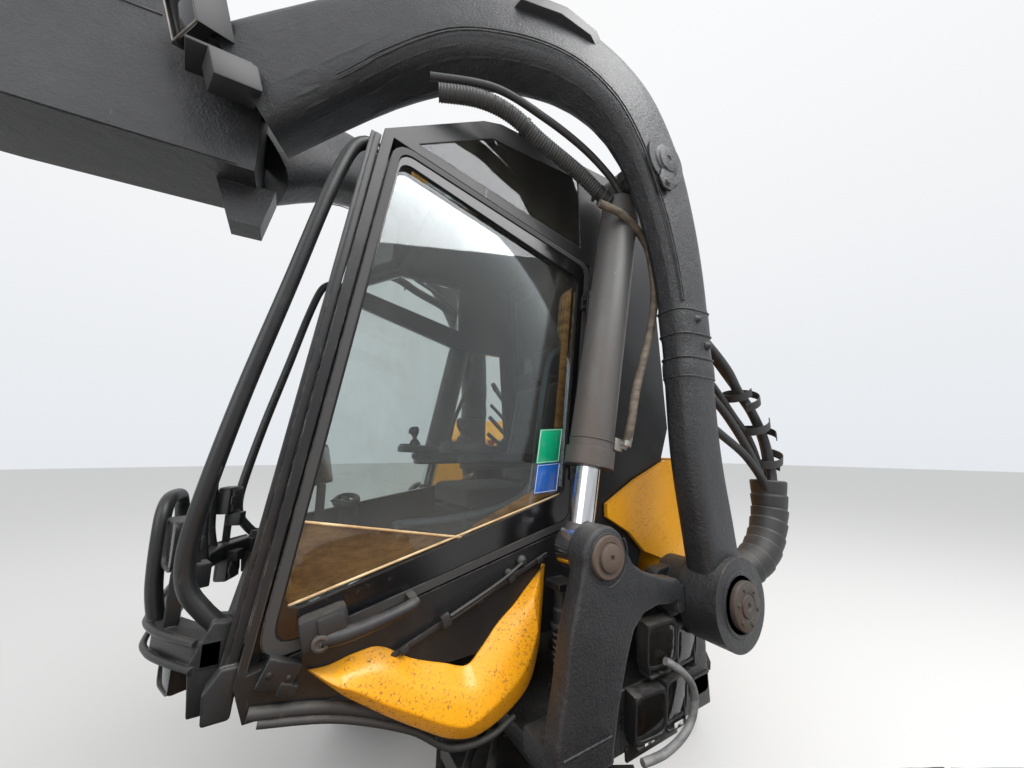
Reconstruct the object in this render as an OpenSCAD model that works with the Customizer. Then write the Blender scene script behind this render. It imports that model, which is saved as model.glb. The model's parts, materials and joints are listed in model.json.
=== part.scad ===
// Eight-wheeled forestry harvester with a cab that turns with its crane.
// +X is forward, +Y is left and +Z is up. Lengths are in millimetres.
// The sub-part modules use the slewing axis as x = 0 and y = 0, with the crane,
// the cab and the frames all pointing along +X. carried() turns the frames and
// the wheels to their place under the crane, and placed() puts the origin on
// the ground at the middle of the whole machine.

/* [Wheels] */
// Radius of a tyre out to the tips of its lugs
tyre_r = 665; // [640:5:690]
// Width of a tyre
tyre_w = 640; // [560:10:680]
// Radius of the rim under the tyre's bead
rim_r = 337; // [320:1:345]
// Height of the tyre lugs
lug_h = 34; // [20:1:45]
// Number of lugs on each side of a tyre
lug_count = 18; // [14:1:20]
// Distance from the centre plane to the middle of a tyre
track_half = 1110; // [1080:5:1160]
// Half the distance between the two axles of a bogie
bogie_half = 750; // [720:5:800]
// Radius of the wheel hub stub on the bogie
hub_r = 110; // [90:5:130]

/* [Frames] */
// Centre of the front bogies ahead of the slewing axis
front_bogie_x = 2150; // [2050:10:2250]
// Centre of the rear bogies behind the slewing axis
rear_bogie_x = 2200; // [2150:10:2300]
// Distance from the slewing axis to each articulation pin
knuckle_x = 880; // [840:5:920]
// Width of the frame beams
frame_w = 640; // [560:10:700]
// Underside of the frame beams above the ground
frame_z0 = 560; // [540:5:620]
// Top of the frame beams above the ground
frame_z1 = 980; // [940:5:1000]
// Radius of the articulation pins
knuckle_pin_r = 60; // [45:5:75]
// Thickness of the articulation ears
ear_t = 60; // [50:5:70]

/* [Upper structure] */
// Radius of the slewing ring
ring_r = 520; // [460:10:560]
// Height of the slewing ring
ring_h = 110; // [90:5:120]
// Outer face of the crane base plates from the centre plane
base_y1 = 950; // [940:5:960]
// Thickness of the crane base plates
plate_t = 70; // [60:5:80]
// Pivot of the yoke arms, forward of the slewing axis
pivot_x = -230; // [-260:5:-200]
// Pivot of the yoke arms above the ground
pivot_z = 1530; // [1500:5:1560]
// Radius of the yoke pivot pin
pivot_pin_r = 75; // [60:5:85]
// Lower pin of the lift cylinders, forward of the slewing axis
rod_pin_x = 285; // [260:5:310]
// Lower pin of the lift cylinders above the ground
rod_pin_z = 1730; // [1710:5:1760]
// Upper pin of the lift cylinders, forward of the slewing axis
top_pin_x = -30; // [-50:5:0]
// Upper pin of the lift cylinders above the ground
top_pin_z = 3170; // [3140:5:3200]
// Distance from the centre plane to the lift cylinders
cyl_y = 820; // [815:5:825]
// Outside radius of a lift cylinder barrel
barrel_r = 78; // [70:1:82]
// Radius of a lift cylinder rod
rod_r = 43; // [38:1:48]

/* [Cab] */
// Half the width of the cab
cab_y = 700; // [680:5:710]
// Thickness of the cab walls
wall = 45; // [40:1:60]
// Thickness of the glazing
glass_t = 10; // [8:1:14]
// Height of the cab's underside
cab_z0 = 1440; // [1430:5:1460]
// Height of the flat part of the roof
roof_z = 3350; // [3320:5:3380]

/* [Crane] */
// Inner face of the yoke arms from the centre plane
arm_y0 = 915; // [912:1:920]
// Lateral thickness of the yoke arms at the pivot
arm_t = 120; // [110:5:130]
// Pin between boom and stick, forward of the slewing axis
elbow_x = 4250; // [4100:10:4400]
// Pin between boom and stick above the ground
elbow_z = 3330; // [3300:5:3360]
// Half the width of the boom at its root
boom_half = 175; // [160:5:190]
// Length of the stick from elbow pin to its nose
stick_len = 2700; // [2600:10:2800]
// Slope of the stick below level, in degrees
stick_slope = 32; // [30:1:34]
// Length of the extension that shows past the stick's nose
ext_len = 420; // [380:10:460]

/* [Hidden] */
$fn = 48;

charcoal = [0.17, 0.18, 0.19];
yellow = [0.95, 0.66, 0.05];
black = [0.08, 0.08, 0.09];
steel = [0.55, 0.55, 0.55];
rubber = [0.12, 0.12, 0.12];
smoke = [0.35, 0.38, 0.40, 0.5];

clear = 0.3;           // gap between pieces that seat on each other
run_gap = 5;           // gap between pieces that move past each other
base_z = frame_z1 + ring_h;          // top of the slewing ring
base_y0 = base_y1 - plate_t;         // inner face of a crane base plate
arm_y1 = arm_y0 + arm_t;             // outer face of a yoke arm
front_x = front_bogie_x + bogie_half + tyre_r + 230;   // tip of the front frame
rear_x = -rear_bogie_x - bogie_half - tyre_r - 560;    // tip of the rear frame

// Tool end: stick direction, boom tip and the head that hangs below it
stick_dir = [cos(stick_slope), 0, -sin(stick_slope)];
tip_x = elbow_x + (stick_len + ext_len) * stick_dir[0];
tip_z = elbow_z + (stick_len + ext_len) * stick_dir[2];
link_drop = 210;       // swing link, pin to pin
rotator_h = 330;       // rotator between the link and the head
head_top_z = tip_z - link_drop - rotator_h;
head_back = 760;       // from the tilt pin to the rear end of the head's beam
head_front = 800;      // from the tilt pin to the front end
// The frames stand turned to the left under the crane, as the machine was parked
carriage_turn = 60;
// Room between the tyres' inner sides: the bogie cases fill a share of it, and
// the hood's foot stands clear of the tyres
tyre_in = track_half - tyre_w / 2;
case_y1 = tyre_in - 15;                 // outer face of a bogie case
case_y0 = case_y1 - 0.386 * tyre_in;    // inner face of its middle boss
hood_y = tyre_in - 50;
rear_bar_y = hood_y + 160;              // half the width of the bar at the rear frame's tip

// A tyre, in a frame with its own z along the axle
tyre_half = tyre_w / 2;
lug_top = 2.6;         // half angle of a lug at its top
lug_foot = 4.4;        // half angle of a lug at its foot
lug_slant = 9;         // turn of a lug from the middle to the shoulder
lug_pitch = 360 / lug_count;
tread_r = tyre_r - lug_h;
shoulder = 60;         // from a tyre's side in to its shoulder
shoulder_drop = 16;    // how far the lugs fall toward the shoulder
wall_r = rim_r + 190;  // radius at which the side wall bulges most
bead_r = (rim_r + clear) / cos(lug_pitch / 4);
// Rings of a tyre's surface at height y along its axis: plain, and with the lugs
function plain_ring(y, r, turn) = [for (k = [0 : 2 * lug_count - 1])
    let (a = 90 + turn + k * lug_pitch / 2) [r * cos(a), r * sin(a), y]];
function tread_ring(y, low, high, turn) = [for (k = [0 : lug_count - 1], j = [0 : 3])
    let (a = 90 + turn + k * lug_pitch + [-lug_foot, -lug_top, lug_top, lug_foot][j],
        r = [low, high, high, low][j]) [r * cos(a), r * sin(a), y]];
tyre_points = concat(plain_ring(shoulder - tyre_half, bead_r, lug_slant),
    plain_ring(-tyre_half, wall_r, lug_slant),
    tread_ring(shoulder - tyre_half, tread_r - 22, tyre_r - shoulder_drop, lug_slant),
    tread_ring(0, tread_r, tyre_r / cos(lug_top), 0),
    tread_ring(tyre_half - shoulder, tread_r - 22, tyre_r - shoulder_drop, lug_slant),
    plain_ring(tyre_half, wall_r, lug_slant),
    plain_ring(tyre_half - shoulder, bead_r, lug_slant));

// Middle of the whole machine: the head ahead, the outer tyres behind and to the
// left, and the rear frame's bar to the right
turn_c = cos(carriage_turn);
turn_s = sin(carriage_turn);
back_x = -turn_c * (rear_bogie_x + bogie_half) - turn_s * track_half
    - max([for (p = tyre_points) turn_s * p[2] - turn_c * p[0]]);
left_y = turn_s * (front_bogie_x + bogie_half) + turn_c * track_half
    + max([for (p = tyre_points) turn_c * p[2] + turn_s * p[0]]);
right_y = turn_s * rear_x - turn_c * rear_bar_y;
mid_x = (tip_x + head_front + back_x) / 2;
mid_y = (left_y + right_y) / 2;

function unit(v) = v / norm(v);
function lerp(a, b, t) = a + (b - a) * t;
// A smooth curve through the points, with steps stretches between neighbours
function spline_at(p, i, t) =
    let (a = p[max(i - 1, 0)], b = p[i], c = p[i + 1], d = p[min(i + 2, len(p) - 1)])
    0.5 * (2 * b + (c - a) * t + (2 * a - 5 * b + 4 * c - d) * t * t
        + (3 * b - a - 3 * c + d) * t * t * t);
function smooth(p, steps) = concat(
    [for (i = [0 : len(p) - 2], k = [0 : steps - 1]) spline_at(p, i, k / steps)],
    [p[len(p) - 1]]);
// One ring of a sweep: a superellipse with half sizes a across and b in the bend
function ring(c, t, a, b, sides, power) =
    let (n = unit(cross([0, 1, 0], t)), m = cross(t, n))
    [for (k = [0 : sides - 1])
        let (q = 360 * (k + 0.5) / sides, cq = cos(q), sq = sin(q))
        c + n * b * sign(cq) * pow(abs(cq), power) + m * a * sign(sq) * pow(abs(sq), power)];
// Rows are [x, y, z, half width, half depth]
module sweep(rows, sides = 16, power = 0.55) {
    last = len(rows) - 1;
    at = [for (r = rows) [r[0], r[1], r[2]]];
    rings = [for (i = [0 : last])
        ring(at[i], unit(at[min(i + 1, last)] - at[max(i - 1, 0)]),
            rows[i][3], rows[i][4], sides, power)];
    polyhedron(
        points = [for (r = rings, p = r) p],
        faces = concat(
            [[for (k = [0 : sides - 1]) k]],
            [[for (k = [sides - 1 : -1 : 0]) last * sides + k]],
            [for (i = [0 : last - 1], k = [0 : sides - 1], h = [0, 1])
                let (a = i * sides + k, b = i * sides + (k + 1) % sides)
                h == 0 ? [a, a + sides, b] : [b, a + sides, b + sides]]));
}
// A round tube along points, which are smoothed first
module tube(points, r, steps = 3, sides = 10) {
    sweep([for (p = smooth(points, steps)) [p[0], p[1], p[2], r, r]], sides, 1);
}
// A polygon of [x, z] points as a plate between two y values
module side_plate(points, y0, y1) {
    translate([0, y1, 0]) rotate([90, 0, 0]) linear_extrude(y1 - y0) polygon(points);
}
module y_cylinder(x, z, r, y0, y1) {
    translate([x, y1, z]) rotate([90, 0, 0]) cylinder(r = r, h = y1 - y0);
}
// A cylinder along the line from pin a toward pin b, both [x, z]
module toward(a, b, y, start, r, length) {
    translate([a[0], y, a[1]]) rotate([0, atan2(b[0] - a[0], b[1] - a[1]), 0])
        translate([0, 0, start]) cylinder(r = r, h = length);
}
module both_sides() {
    children();
    mirror([0, 1, 0]) children();
}
module box(x0, x1, y0, y1, z0, z1) {
    translate([x0, y0, z0]) cube([x1 - x0, y1 - y0, z1 - z0]);
}
module placed() translate([-mid_x, -mid_y, 0]) children();
module carried() placed() rotate([0, 0, carriage_turn]) children();
// A convex outline, moved in by t on every side (points run anticlockwise)
function edge_in(p, i, t) =
    let (a = p[i], b = p[(i + 1) % len(p)], d = unit(b - a), n = [-d[1], d[0]])
    [a + n * t, d];
function meet(e, f) =
    let (c = e[1][0] * f[1][1] - e[1][1] * f[1][0], w = f[0] - e[0])
    e[0] + e[1] * ((w[0] * f[1][1] - w[1] * f[1][0]) / c);
function inset(p, t) = [for (i = [0 : len(p) - 1])
    meet(edge_in(p, (i + len(p) - 1) % len(p), t), edge_in(p, i, t))];

// Frames

module knuckle_fork(x, way) {
    // Two ears with a pin through them, open toward the outer frame
    for (z = [frame_z0 - ear_t, frame_z1 - ear_t])
        translate([0, 0, z]) linear_extrude(ear_t) difference() {
            union() {
                polygon([[x - way * 330, -frame_w / 2], [x - way * 330, frame_w / 2],
                    [x, 130], [x, -130]]);
                translate([x, 0]) circle(130);
            }
        }
    translate([x, 0, frame_z0 - ear_t]) cylinder(r = knuckle_pin_r, h = frame_z1 - frame_z0 + ear_t);
}
module mid_frame() {
    color(charcoal) {
        box(-knuckle_x + 330, knuckle_x - 330, -frame_w / 2, frame_w / 2,
            frame_z0 - ear_t, frame_z1);
        knuckle_fork(knuckle_x, 1);
        knuckle_fork(-knuckle_x, -1);
        both_sides() side_plate([[-300, 620], [300, 620], [230, 900], [-230, 900]],
            frame_w / 2, frame_w / 2 + 60);
        translate([0, 0, frame_z1 - 1]) cylinder(r = ring_r + 30, h = 21);
        for (way = [1, -1]) {
            steer_bracket(way * steer_pin_x);
            translate([way * steer_pin_x, steer_y, steer_z - steer_gap - 20])
                cylinder(r = steer_pin_r, h = 2 * steer_gap + 40);
        }
    }
}
// Pair of plates on the left side of a frame, for one eye of a steering cylinder
module steer_bracket(x) {
    for (z = [steer_z - steer_gap - 25, steer_z + steer_gap])
        box(x - 42, x + 42, frame_w / 2 - 10, steer_y + 50, z, z + 25);
}
module slew_ring() {
    color(steel) translate([0, 0, frame_z1 + 20 + clear]) difference() {
        union() {
            cylinder(r = ring_r, h = ring_h - 20 - 2 * clear, $fn = 96);
            for (i = [0 : 59]) rotate(i * 6)
                translate([ring_r - 3, -12, 8]) cube([17, 24, 50]);
        }
        translate([0, 0, -1]) cylinder(r = ring_r - 130, h = ring_h, $fn = 96);
    }
}
module neck(way) {
    // Tongue that sits between the ears of the mid frame, with its bore
    difference() {
        union() {
            translate([way * knuckle_x, 0, frame_z0 + run_gap])
                cylinder(r = 125, h = frame_z1 - frame_z0 - ear_t - 2 * run_gap);
            box(way > 0 ? knuckle_x : -knuckle_x - 340, way > 0 ? knuckle_x + 340 : -knuckle_x,
                -110, 110, frame_z0 + run_gap, frame_z1 - ear_t - run_gap);
        }
        translate([way * knuckle_x, 0, frame_z0 - 50])
            cylinder(r = knuckle_pin_r + clear, h = frame_z1 - frame_z0);
    }
}
case_bore = 105;       // radius of the cross tube inside a bogie case
// Cross tube that carries a pair of bogie cases
module cross_axle(x) {
    y_cylinder(x, tyre_r + 20, 150, 10 - case_y0, case_y0 - 10);
    y_cylinder(x, tyre_r + 20, case_bore, 85 - case_y1, case_y1 - 85);
}
module front_frame() {
    color(charcoal) {
        neck(1);
        side_plate([[knuckle_x + 300, frame_z0], [front_x - 240, frame_z0],
            [front_x, frame_z0 + 160], [front_x, frame_z1 + 60], [front_x - 300, frame_z1 + 60],
            [front_x - 420, frame_z1], [knuckle_x + 300, frame_z1]], -frame_w / 2, frame_w / 2);
        cross_axle(front_bogie_x);
        box(front_x - 90, front_x, -560, 560, frame_z0 + 180, frame_z1 + 60);
        steer_bracket(steer_eye_x);
    }
}
module nose_cover() {
    z = frame_z1 + clear;
    color(yellow) difference() {
        side_plate([[knuckle_x + 420, z], [front_x - 430, z], [front_x - 560, z + 190],
            [knuckle_x + 760, z + 250], [knuckle_x + 480, z + 200]], -330, 330);
        for (i = [0 : 4])
            translate([knuckle_x + 640 + i * 150, -250, z + 170])
                rotate([0, 8, 0]) cube([90, 500, 300]);
    }
}
module rear_frame() {
    color(charcoal) {
        neck(-1);
        side_plate([[-knuckle_x - 300, frame_z0], [-knuckle_x - 300, frame_z1],
            [rear_x, frame_z1], [rear_x, frame_z0 + 220], [rear_x + 260, frame_z0]],
            -frame_w / 2, frame_w / 2);
        cross_axle(-rear_bogie_x);
        difference() {
            box(rear_x, rear_x + 120, -rear_bar_y, rear_bar_y, frame_z1 - 380, frame_z1 - 40);
            both_sides() box(rear_x - 1, rear_x + 121, 420, 820, frame_z1 - 330, frame_z1 - 150);
        }
        box(rear_x + 200, hood_x1, 40 - hood_y, hood_y - 40, frame_z1 - 30, frame_z1 + 20);
        steer_bracket(-steer_eye_x);
    }
}
// Tandem gear case with its wheel stubs
module bogie_case(x) {
    y0 = case_y0;
    y1 = case_y1;
    z = tyre_r;
    difference() {
        union() {
            for (s = [-1, 1]) {
                y_cylinder(x + s * bogie_half, z, 215, y0 + 60, y1);
                y_cylinder(x + s * bogie_half, z, hub_r, y1 - 1, track_half + 60);
            }
            side_plate([[x - bogie_half, z - 215], [x - 160, z - 150], [x + 160, z - 150],
                [x + bogie_half, z - 215], [x + bogie_half, z + 215], [x + 220, z + 260],
                [x - 220, z + 260], [x - bogie_half, z + 215]], y0 + 60, y1 - 30);
            y_cylinder(x, z + 20, 250, y0, y1);
        }
        y_cylinder(x, z + 20, case_bore + clear, y0 - 5, y1 - 80);
    }
}
module front_bogies() color(charcoal) both_sides() bogie_case(front_bogie_x);
module rear_bogies() color(charcoal) both_sides() bogie_case(-rear_bogie_x);

// Wheels

module at_wheel(i) {
    // 0-1 front left, 2-3 front right, 4-5 rear left, 6-7 rear right; outer axle first
    front = i < 4;
    right = i % 4 > 1;
    first = i % 2 == 0;
    x = (front ? front_bogie_x : -rear_bogie_x) + (first ? 1 : -1) * bogie_half;
    translate([x, (right ? -1 : 1) * track_half, tyre_r])
        rotate([0, 0, right ? 180 : 0]) rotate([-90, 0, 0]) children();
}
// Triangles between rings of n points that start at a and at b
function strip(a, b, n) = [for (k = [0 : n - 1], h = [0, 1])
    let (m = (k + 1) % n) h == 0 ? [a + k, b + k, b + m] : [a + k, b + m, a + m]];
// Triangles between a plain ring that starts at a and a ring with lugs that starts at b
function lug_strip(a, b) = [for (i = [0 : lug_count - 1], h = [0 : 5])
    let (p = a + 2 * i, q = a + (2 * i + 2) % (2 * lug_count), t = b + 4 * i,
        u = b + (4 * i + 4) % (4 * lug_count))
    [[p, t, t + 1], [p, t + 1, t + 2], [p, t + 2, t + 3], [p, t + 3, p + 1],
        [p + 1, t + 3, u], [p + 1, u, q]][h]];
function flipped(faces) = [for (f = faces) [f[2], f[1], f[0]]];
module tyre() {
    n = 2 * lug_count;
    color(rubber) polyhedron(
        points = tyre_points,
        faces = concat(strip(0, n, n), lug_strip(n, 2 * n), strip(2 * n, 4 * n, 2 * n),
            strip(4 * n, 6 * n, 2 * n), flipped(lug_strip(8 * n, 6 * n)), strip(8 * n, 9 * n, n),
            strip(9 * n, 0, n)));
}
module rim() {
    w = tyre_w / 2 - 62;
    color(yellow) difference() {
        union() {
            rotate_extrude($fn = 96) polygon([[rim_r - 30, -w], [rim_r, -w], [rim_r, w],
                [rim_r - 30, w]]);
            rotate_extrude($fn = 96) polygon([[hub_r + clear, -40], [190, -40], [240, 10],
                [rim_r - 20, 60], [rim_r - 20, 90], [225, 50], [180, 70 + clear],
                [hub_r + clear, 70 + clear]]);
            translate([0, 0, 62]) cylinder(r = 150, h = 70);
        }
        for (i = [0 : 7]) rotate(i * 45) translate([258, 0, 0]) cylinder(r = 22, h = 140, $fn = 24);
    }
}

// Rear body

// Outline of the hood seen from the side and from behind, moved in by t
hood_x0 = rear_x + 60;
hood_x1 = -1790;
hood_z0 = frame_z1 + 20 + clear;
hood_side = [[hood_x0, hood_z0], [hood_x1, hood_z0], [hood_x1, 2160], [hood_x1 - 260, 2370],
    [hood_x0 + 900, 2330], [hood_x0 + 160, 2110], [hood_x0, 1900]];
hood_half = [[hood_y, hood_z0], [hood_y, 1350], [hood_y + 120, 1410], [hood_y + 120, 1950],
    [hood_y + 40, 2230], [hood_y - 120, 2400]];
hood_back = concat(hood_half, [for (i = [5 : -1 : 0]) [-hood_half[i][0], hood_half[i][1]]]);
module hood_form(t) {
    intersection() {
        side_plate(inset(hood_side, t), -hood_y - 160, hood_y + 160);
        translate([hood_x0 - 50, 0, 0]) rotate([90, 0, 90]) linear_extrude(3000)
            polygon(inset(hood_back, t));
    }
}
module engine() {
    color(steel) box(hood_x0 + 500, hood_x0 + 1750, -380, 380, frame_z1 + 20 + clear, 1850);
}
module engine_hood() {
    color(yellow) difference() {
        hood_form(0);
        hood_form(30);
        box(hood_x0 + 30, hood_x1 - 30, 30 - hood_y, hood_y - 30, hood_z0 - 10, hood_z0 + 60);
        both_sides() box(hood_x0 + 300, hood_x0 + 1250, hood_y + 60, hood_y + 160, 1440, 1930);
        box(hood_x0 - 10, hood_x0 + 60, -520, 520, 1200, 1800);
    }
}
// Louvred panels seated in the hood's side and rear cut-outs
module engine_grilles() {
    x0 = hood_x0;
    color(black) {
        both_sides() {
            difference() {
                box(x0 + 300 + clear, x0 + 1250 - clear, hood_y + 92, hood_y + 116,
                    1440 + clear, 1930 - clear);
                for (i = [0 : 7])
                    box(x0 + 340, x0 + 1210, hood_y + 104, hood_y + 130,
                        1470 + i * 55, 1500 + i * 55);
            }
        }
        difference() {
            box(x0 + 4, x0 + 28, -520 + clear, 520 - clear, 1200 + clear, 1800 - clear);
            for (i = [0 : 8])
                box(x0 - 1, x0 + 16, -480, 480, 1235 + i * 60, 1235 + i * 60 + 32);
        }
    }
}
module exhaust_stack() {
    a = hood_side[3];
    b = hood_side[4];
    x = a[0] - 160;
    r = 95;
    // Height at which the flange rests on the sloping top
    z = a[1] + (b[1] - a[1]) * (x + r - a[0]) / (b[0] - a[0]) + clear;
    color(black) difference() {
        union() {
            translate([x, 430, z]) cylinder(r = r, h = 30);
            translate([x, 430, z]) cylinder(r = 62, h = 360);
        }
        translate([x, 430, z + 100]) cylinder(r = 54, h = 400);
    }
}

// Steering cylinders on the left, one at each articulation

steer_y = frame_w / 2 + 60;
steer_z = 760;         // height of both cylinders
steer_gap = 36;        // from the cylinder's centre line to a bracket plate
steer_pin_r = 20;
steer_pin_x = 500;     // pin of the barrel, on the mid frame
steer_eye_x = knuckle_x + 420;   // eye of the rod, on the outer frame
module steer_tube(x, r, length, way) {
    translate([way * x, steer_y, steer_z]) rotate([0, way * 90, 0]) cylinder(r = r, h = length);
}
module steer_barrel(way) {
    color(steel) difference() {
        union() {
            translate([way * steer_pin_x, steer_y, steer_z - 28]) cylinder(r = 40, h = 56);
            steer_tube(steer_pin_x + 30, 28, 60, way);
            steer_tube(steer_pin_x + 60, 44, 400, way);
        }
        translate([way * steer_pin_x, steer_y, steer_z - 40])
            cylinder(r = steer_pin_r + clear, h = 80);
        steer_tube(steer_pin_x + 120, 25 + clear, 400, way);
    }
}
module steer_rod(way) {
    color(steel) {
        steer_tube(steer_pin_x + 280, 25, steer_eye_x - steer_pin_x - 300, way);
        translate([way * steer_eye_x, steer_y, steer_z - 28]) cylinder(r = 40, h = 56);
    }
}

// Crane base, which turns on the slewing ring

foot_z = 1190;         // underside of the front leg, above the steered tyres
rear_y = 835;          // outer face of the rear legs
// Side plates, [x, z]: the front leg with the ear for the lift rod, then the rear leg
base_front = [[480, foot_z], [500, 1300], [455, 1520], [400, 1640], [385, rod_pin_z],
    [rod_pin_x, rod_pin_z + 60], [rod_pin_x - 93, rod_pin_z - 10], [120, 1648],
    [20, 1600], [-70, 1585], [-70, 1490], [60, 1490], [150, 1455], [205, 1380],
    [250, 1260], [290, foot_z]];
base_rear = [[-215, base_z + 40], [-170, 1400], [-75, 1490], [-70, 1600],
    [pivot_x - 90, 1610], [pivot_x - 125, pivot_z], [-345, 1240], [-345, base_z + 40]];
module crane_base() {
    color(charcoal) {
        translate([0, 0, base_z + clear]) cylinder(r = ring_r + 80, h = 70, $fn = 96);
        both_sides() {
            side_plate(base_front, base_y0, base_y1);
            y_cylinder(rod_pin_x, rod_pin_z, 105, base_y0 - 14, base_y1 + 12);
            y_cylinder(rod_pin_x, rod_pin_z, 40, base_y1, base_y1 + 30);
            side_plate(base_rear, rear_y - 55, rear_y);
            box(-75, -40, rear_y - 55, base_y1, 1488, 1586);
            box(-345, 420, rear_y - 55, rear_y, base_z + clear, 1200);
            box(290, 480, rear_y - 55, base_y1, foot_z, foot_z + 70);
            y_cylinder(pivot_x, pivot_z, 128, rear_y - 55, arm_y0 - run_gap);
            y_cylinder(pivot_x, pivot_z, pivot_pin_r, rear_y, arm_y1 + 22 + run_gap);
            difference() {
                y_cylinder(pivot_x, pivot_z, 105, arm_y1 + 20 + run_gap, arm_y1 + 38 + run_gap);
                for (i = [0 : 5]) rotate_about(pivot_x, pivot_z, i * 60)
                    y_cylinder(pivot_x + 80, pivot_z, 10, arm_y1 + 30, arm_y1 + 60);
            }
            lamp_bracket();
        }
        box(-345, -285, -rear_y + 10, rear_y - 10, base_z + clear, base_wall_z);
        box(-345, 420, -rear_y + 10, rear_y - 10, base_z + clear, base_z + 70);
    }
}
base_wall_z = 1420;    // top of the base's rear wall
// Frame in the arch between the legs that the four work lamps bolt to
lamp_y = 838;          // back of the lamp housings
arch_lamps = [[-5, 1378], [-138, 1338], [62, 1205], [-85, 1195]];
module lamp_bracket() {
    box(-230, 150, lamp_y - 30, lamp_y - clear, 1270, 1310);
    for (p = arch_lamps)
        box(p[0] - 20, p[0] + 20, lamp_y - 30, lamp_y - clear, min(p[1] - 30, 1270),
            max(p[1] + 30, 1310));
}
// Turns children about a pin line along Y
module rotate_about(x, z, a) {
    translate([x, 0, z]) rotate([0, a, 0]) translate([-x, 0, -z]) children();
}
spring_x = 297;        // coil spring dampers beside the cab
spring_y = 742;
spring_top = 1585;
module cab_mounts() {
    color(black) {
        for (x = [30, 330], y = [-430, 430])
            translate([x, y, 0]) {
                translate([0, 0, base_z + 70 + clear]) cylinder(r = 85, h = 60);
                translate([0, 0, base_z + 130]) cylinder(r = 60, h = cab_z0 - clear - base_z - 130);
            }
        both_sides() translate([spring_x, spring_y, 0]) {
            translate([0, 0, base_z + 70 + clear])
                cylinder(r = 14, h = spring_top - base_z - 70 - 2 * clear);
            translate([0, 0, base_z + 70 + clear]) cylinder(r = 22, h = 110);
            for (i = [0 : 9]) translate([0, 0, base_z + 170 + i * 22]) cylinder(r = 28, h = 12);
        }
    }
}

// Cab, [x, z] outlines run anticlockwise

cab_side = [[1180, cab_z0], [1205, 1520], [965, 3105], [600, 3325], [520, roof_z],
    [-340, roof_z], [-385, 2150], [-180, 1680], [-60, cab_z0]];
door_edge = [[1176, 1545], [930, 3078], [70, 2850], [203, 1778]];
// Line of the door's hinge pins, outside its rear edge
hinge_y = cab_y + 18;
hinge_low = door_edge[3] - [3, 0];
hinge_high = door_edge[2] - [3, 0];
hinge_dir = unit(hinge_high - hinge_low);
hinge_r = 14;
hinge_pin_r = 7;
// Places along the rear edge where the two hinges sit
hinge_at = [190, 890];
// Cylinder round the hinge line from s0 to s1 along it
module on_hinge(s0, s1, r) {
    translate([hinge_low[0] + hinge_dir[0] * s0, hinge_y, hinge_low[1] + hinge_dir[1] * s0])
        rotate([0, atan2(hinge_dir[0], hinge_dir[1]), 0]) cylinder(r = r, h = s1 - s0);
}
// Plate beside the hinge line, from the skin out to the middle of the pin
module hinge_leaf(s0, s1, u0, u1, y0) {
    p = hinge_low;
    d = hinge_dir;
    side = [d[1], -d[0]];
    side_plate([p + d * s0 + side * u0, p + d * s0 + side * u1, p + d * s1 + side * u1,
        p + d * s1 + side * u0], y0, cab_y + 10);
}
door_window = [[1128, 1650], [905, 3010], [135, 2775], [245, 1890]];
right_window = [[1110, 1680], [900, 3000], [120, 2780], [-250, 2780], [-290, 2150],
    [0, 1850], [600, 1760]];
upper_window = [[560, 3265], [120, 3265], [120, 2925], [850, 3100]];
// A point part of the way along an edge of the side outline
function along(i, t) = lerp(cab_side[i], cab_side[(i + 1) % len(cab_side)], t);
function band(i, t0, t1, depth, out) =
    let (a = along(i, t0), b = along(i, t1), d = unit(b - a), n = [-d[1], d[0]])
    [a - n * out, b - n * out, b + n * depth, a + n * depth];
// Cuts for the windscreen, roof window and rear window: [edge, from, to, half width]
cab_panes = [[1, 0.07, 0.95, 620], [2, 0.08, 0.92, 560], [5, 0.12, 0.62, 540]];
module cab_shell() {
    color(charcoal) difference() {
        side_plate(cab_side, -cab_y, cab_y);
        side_plate(inset(cab_side, wall), -cab_y + wall, cab_y - wall);
        for (p = cab_panes)
            side_plate(band(p[0], p[1], p[2], wall + 20, 20), -p[3], p[3]);
        side_plate(inset(door_edge, -run_gap), cab_y - wall - 10, cab_y + 10);
        side_plate(right_window, -cab_y - 10, -cab_y + wall + 10);
        both_sides() side_plate(upper_window, cab_y - wall - 10, cab_y + 10);
    }
    color(charcoal) both_sides()
        box(spring_x - 35, spring_x + 35, cab_y - 1, spring_y + 32, spring_top, spring_top + 22);
    color(charcoal) for (s = hinge_at) {
        on_hinge(s - 60, s + 60, hinge_pin_r);
        for (e = [-1, 1]) {
            on_hinge(s + e * 47 - 13, s + e * 47 + 13, hinge_r);
            hinge_leaf(s + e * 47 - 13, s + e * 47 + 13, -60, 0, cab_y - 1);
        }
    }
}
module pane(points, y0, y1) side_plate(inset(points, clear), y0, y1);
module cab_glass() {
    color(smoke) {
        for (p = cab_panes)
            side_plate(inset(band(p[0], p[1], p[2], 8 + glass_t, -8), clear),
                -p[3] + clear, p[3] - clear);
        pane(right_window, -cab_y + 4, -cab_y + 4 + glass_t);
        both_sides() pane(upper_window, cab_y - 4 - glass_t, cab_y - 4);
    }
}
module door() {
    color(charcoal) {
        difference() {
            side_plate(door_edge, cab_y - wall, cab_y);
            side_plate(door_window, cab_y - wall - 5, cab_y + 5);
        }
        difference() {
            for (s = hinge_at) {
                on_hinge(s - 33, s + 33, hinge_r);
                hinge_leaf(s - 33, s + 33, 0, 40, cab_y);
                hinge_leaf(s - 33, s + 33, run_gap + 3, 40, cab_y - 1);
            }
            on_hinge(0, 1080, hinge_pin_r + clear);
        }
        door_handle();
    }
}
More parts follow.
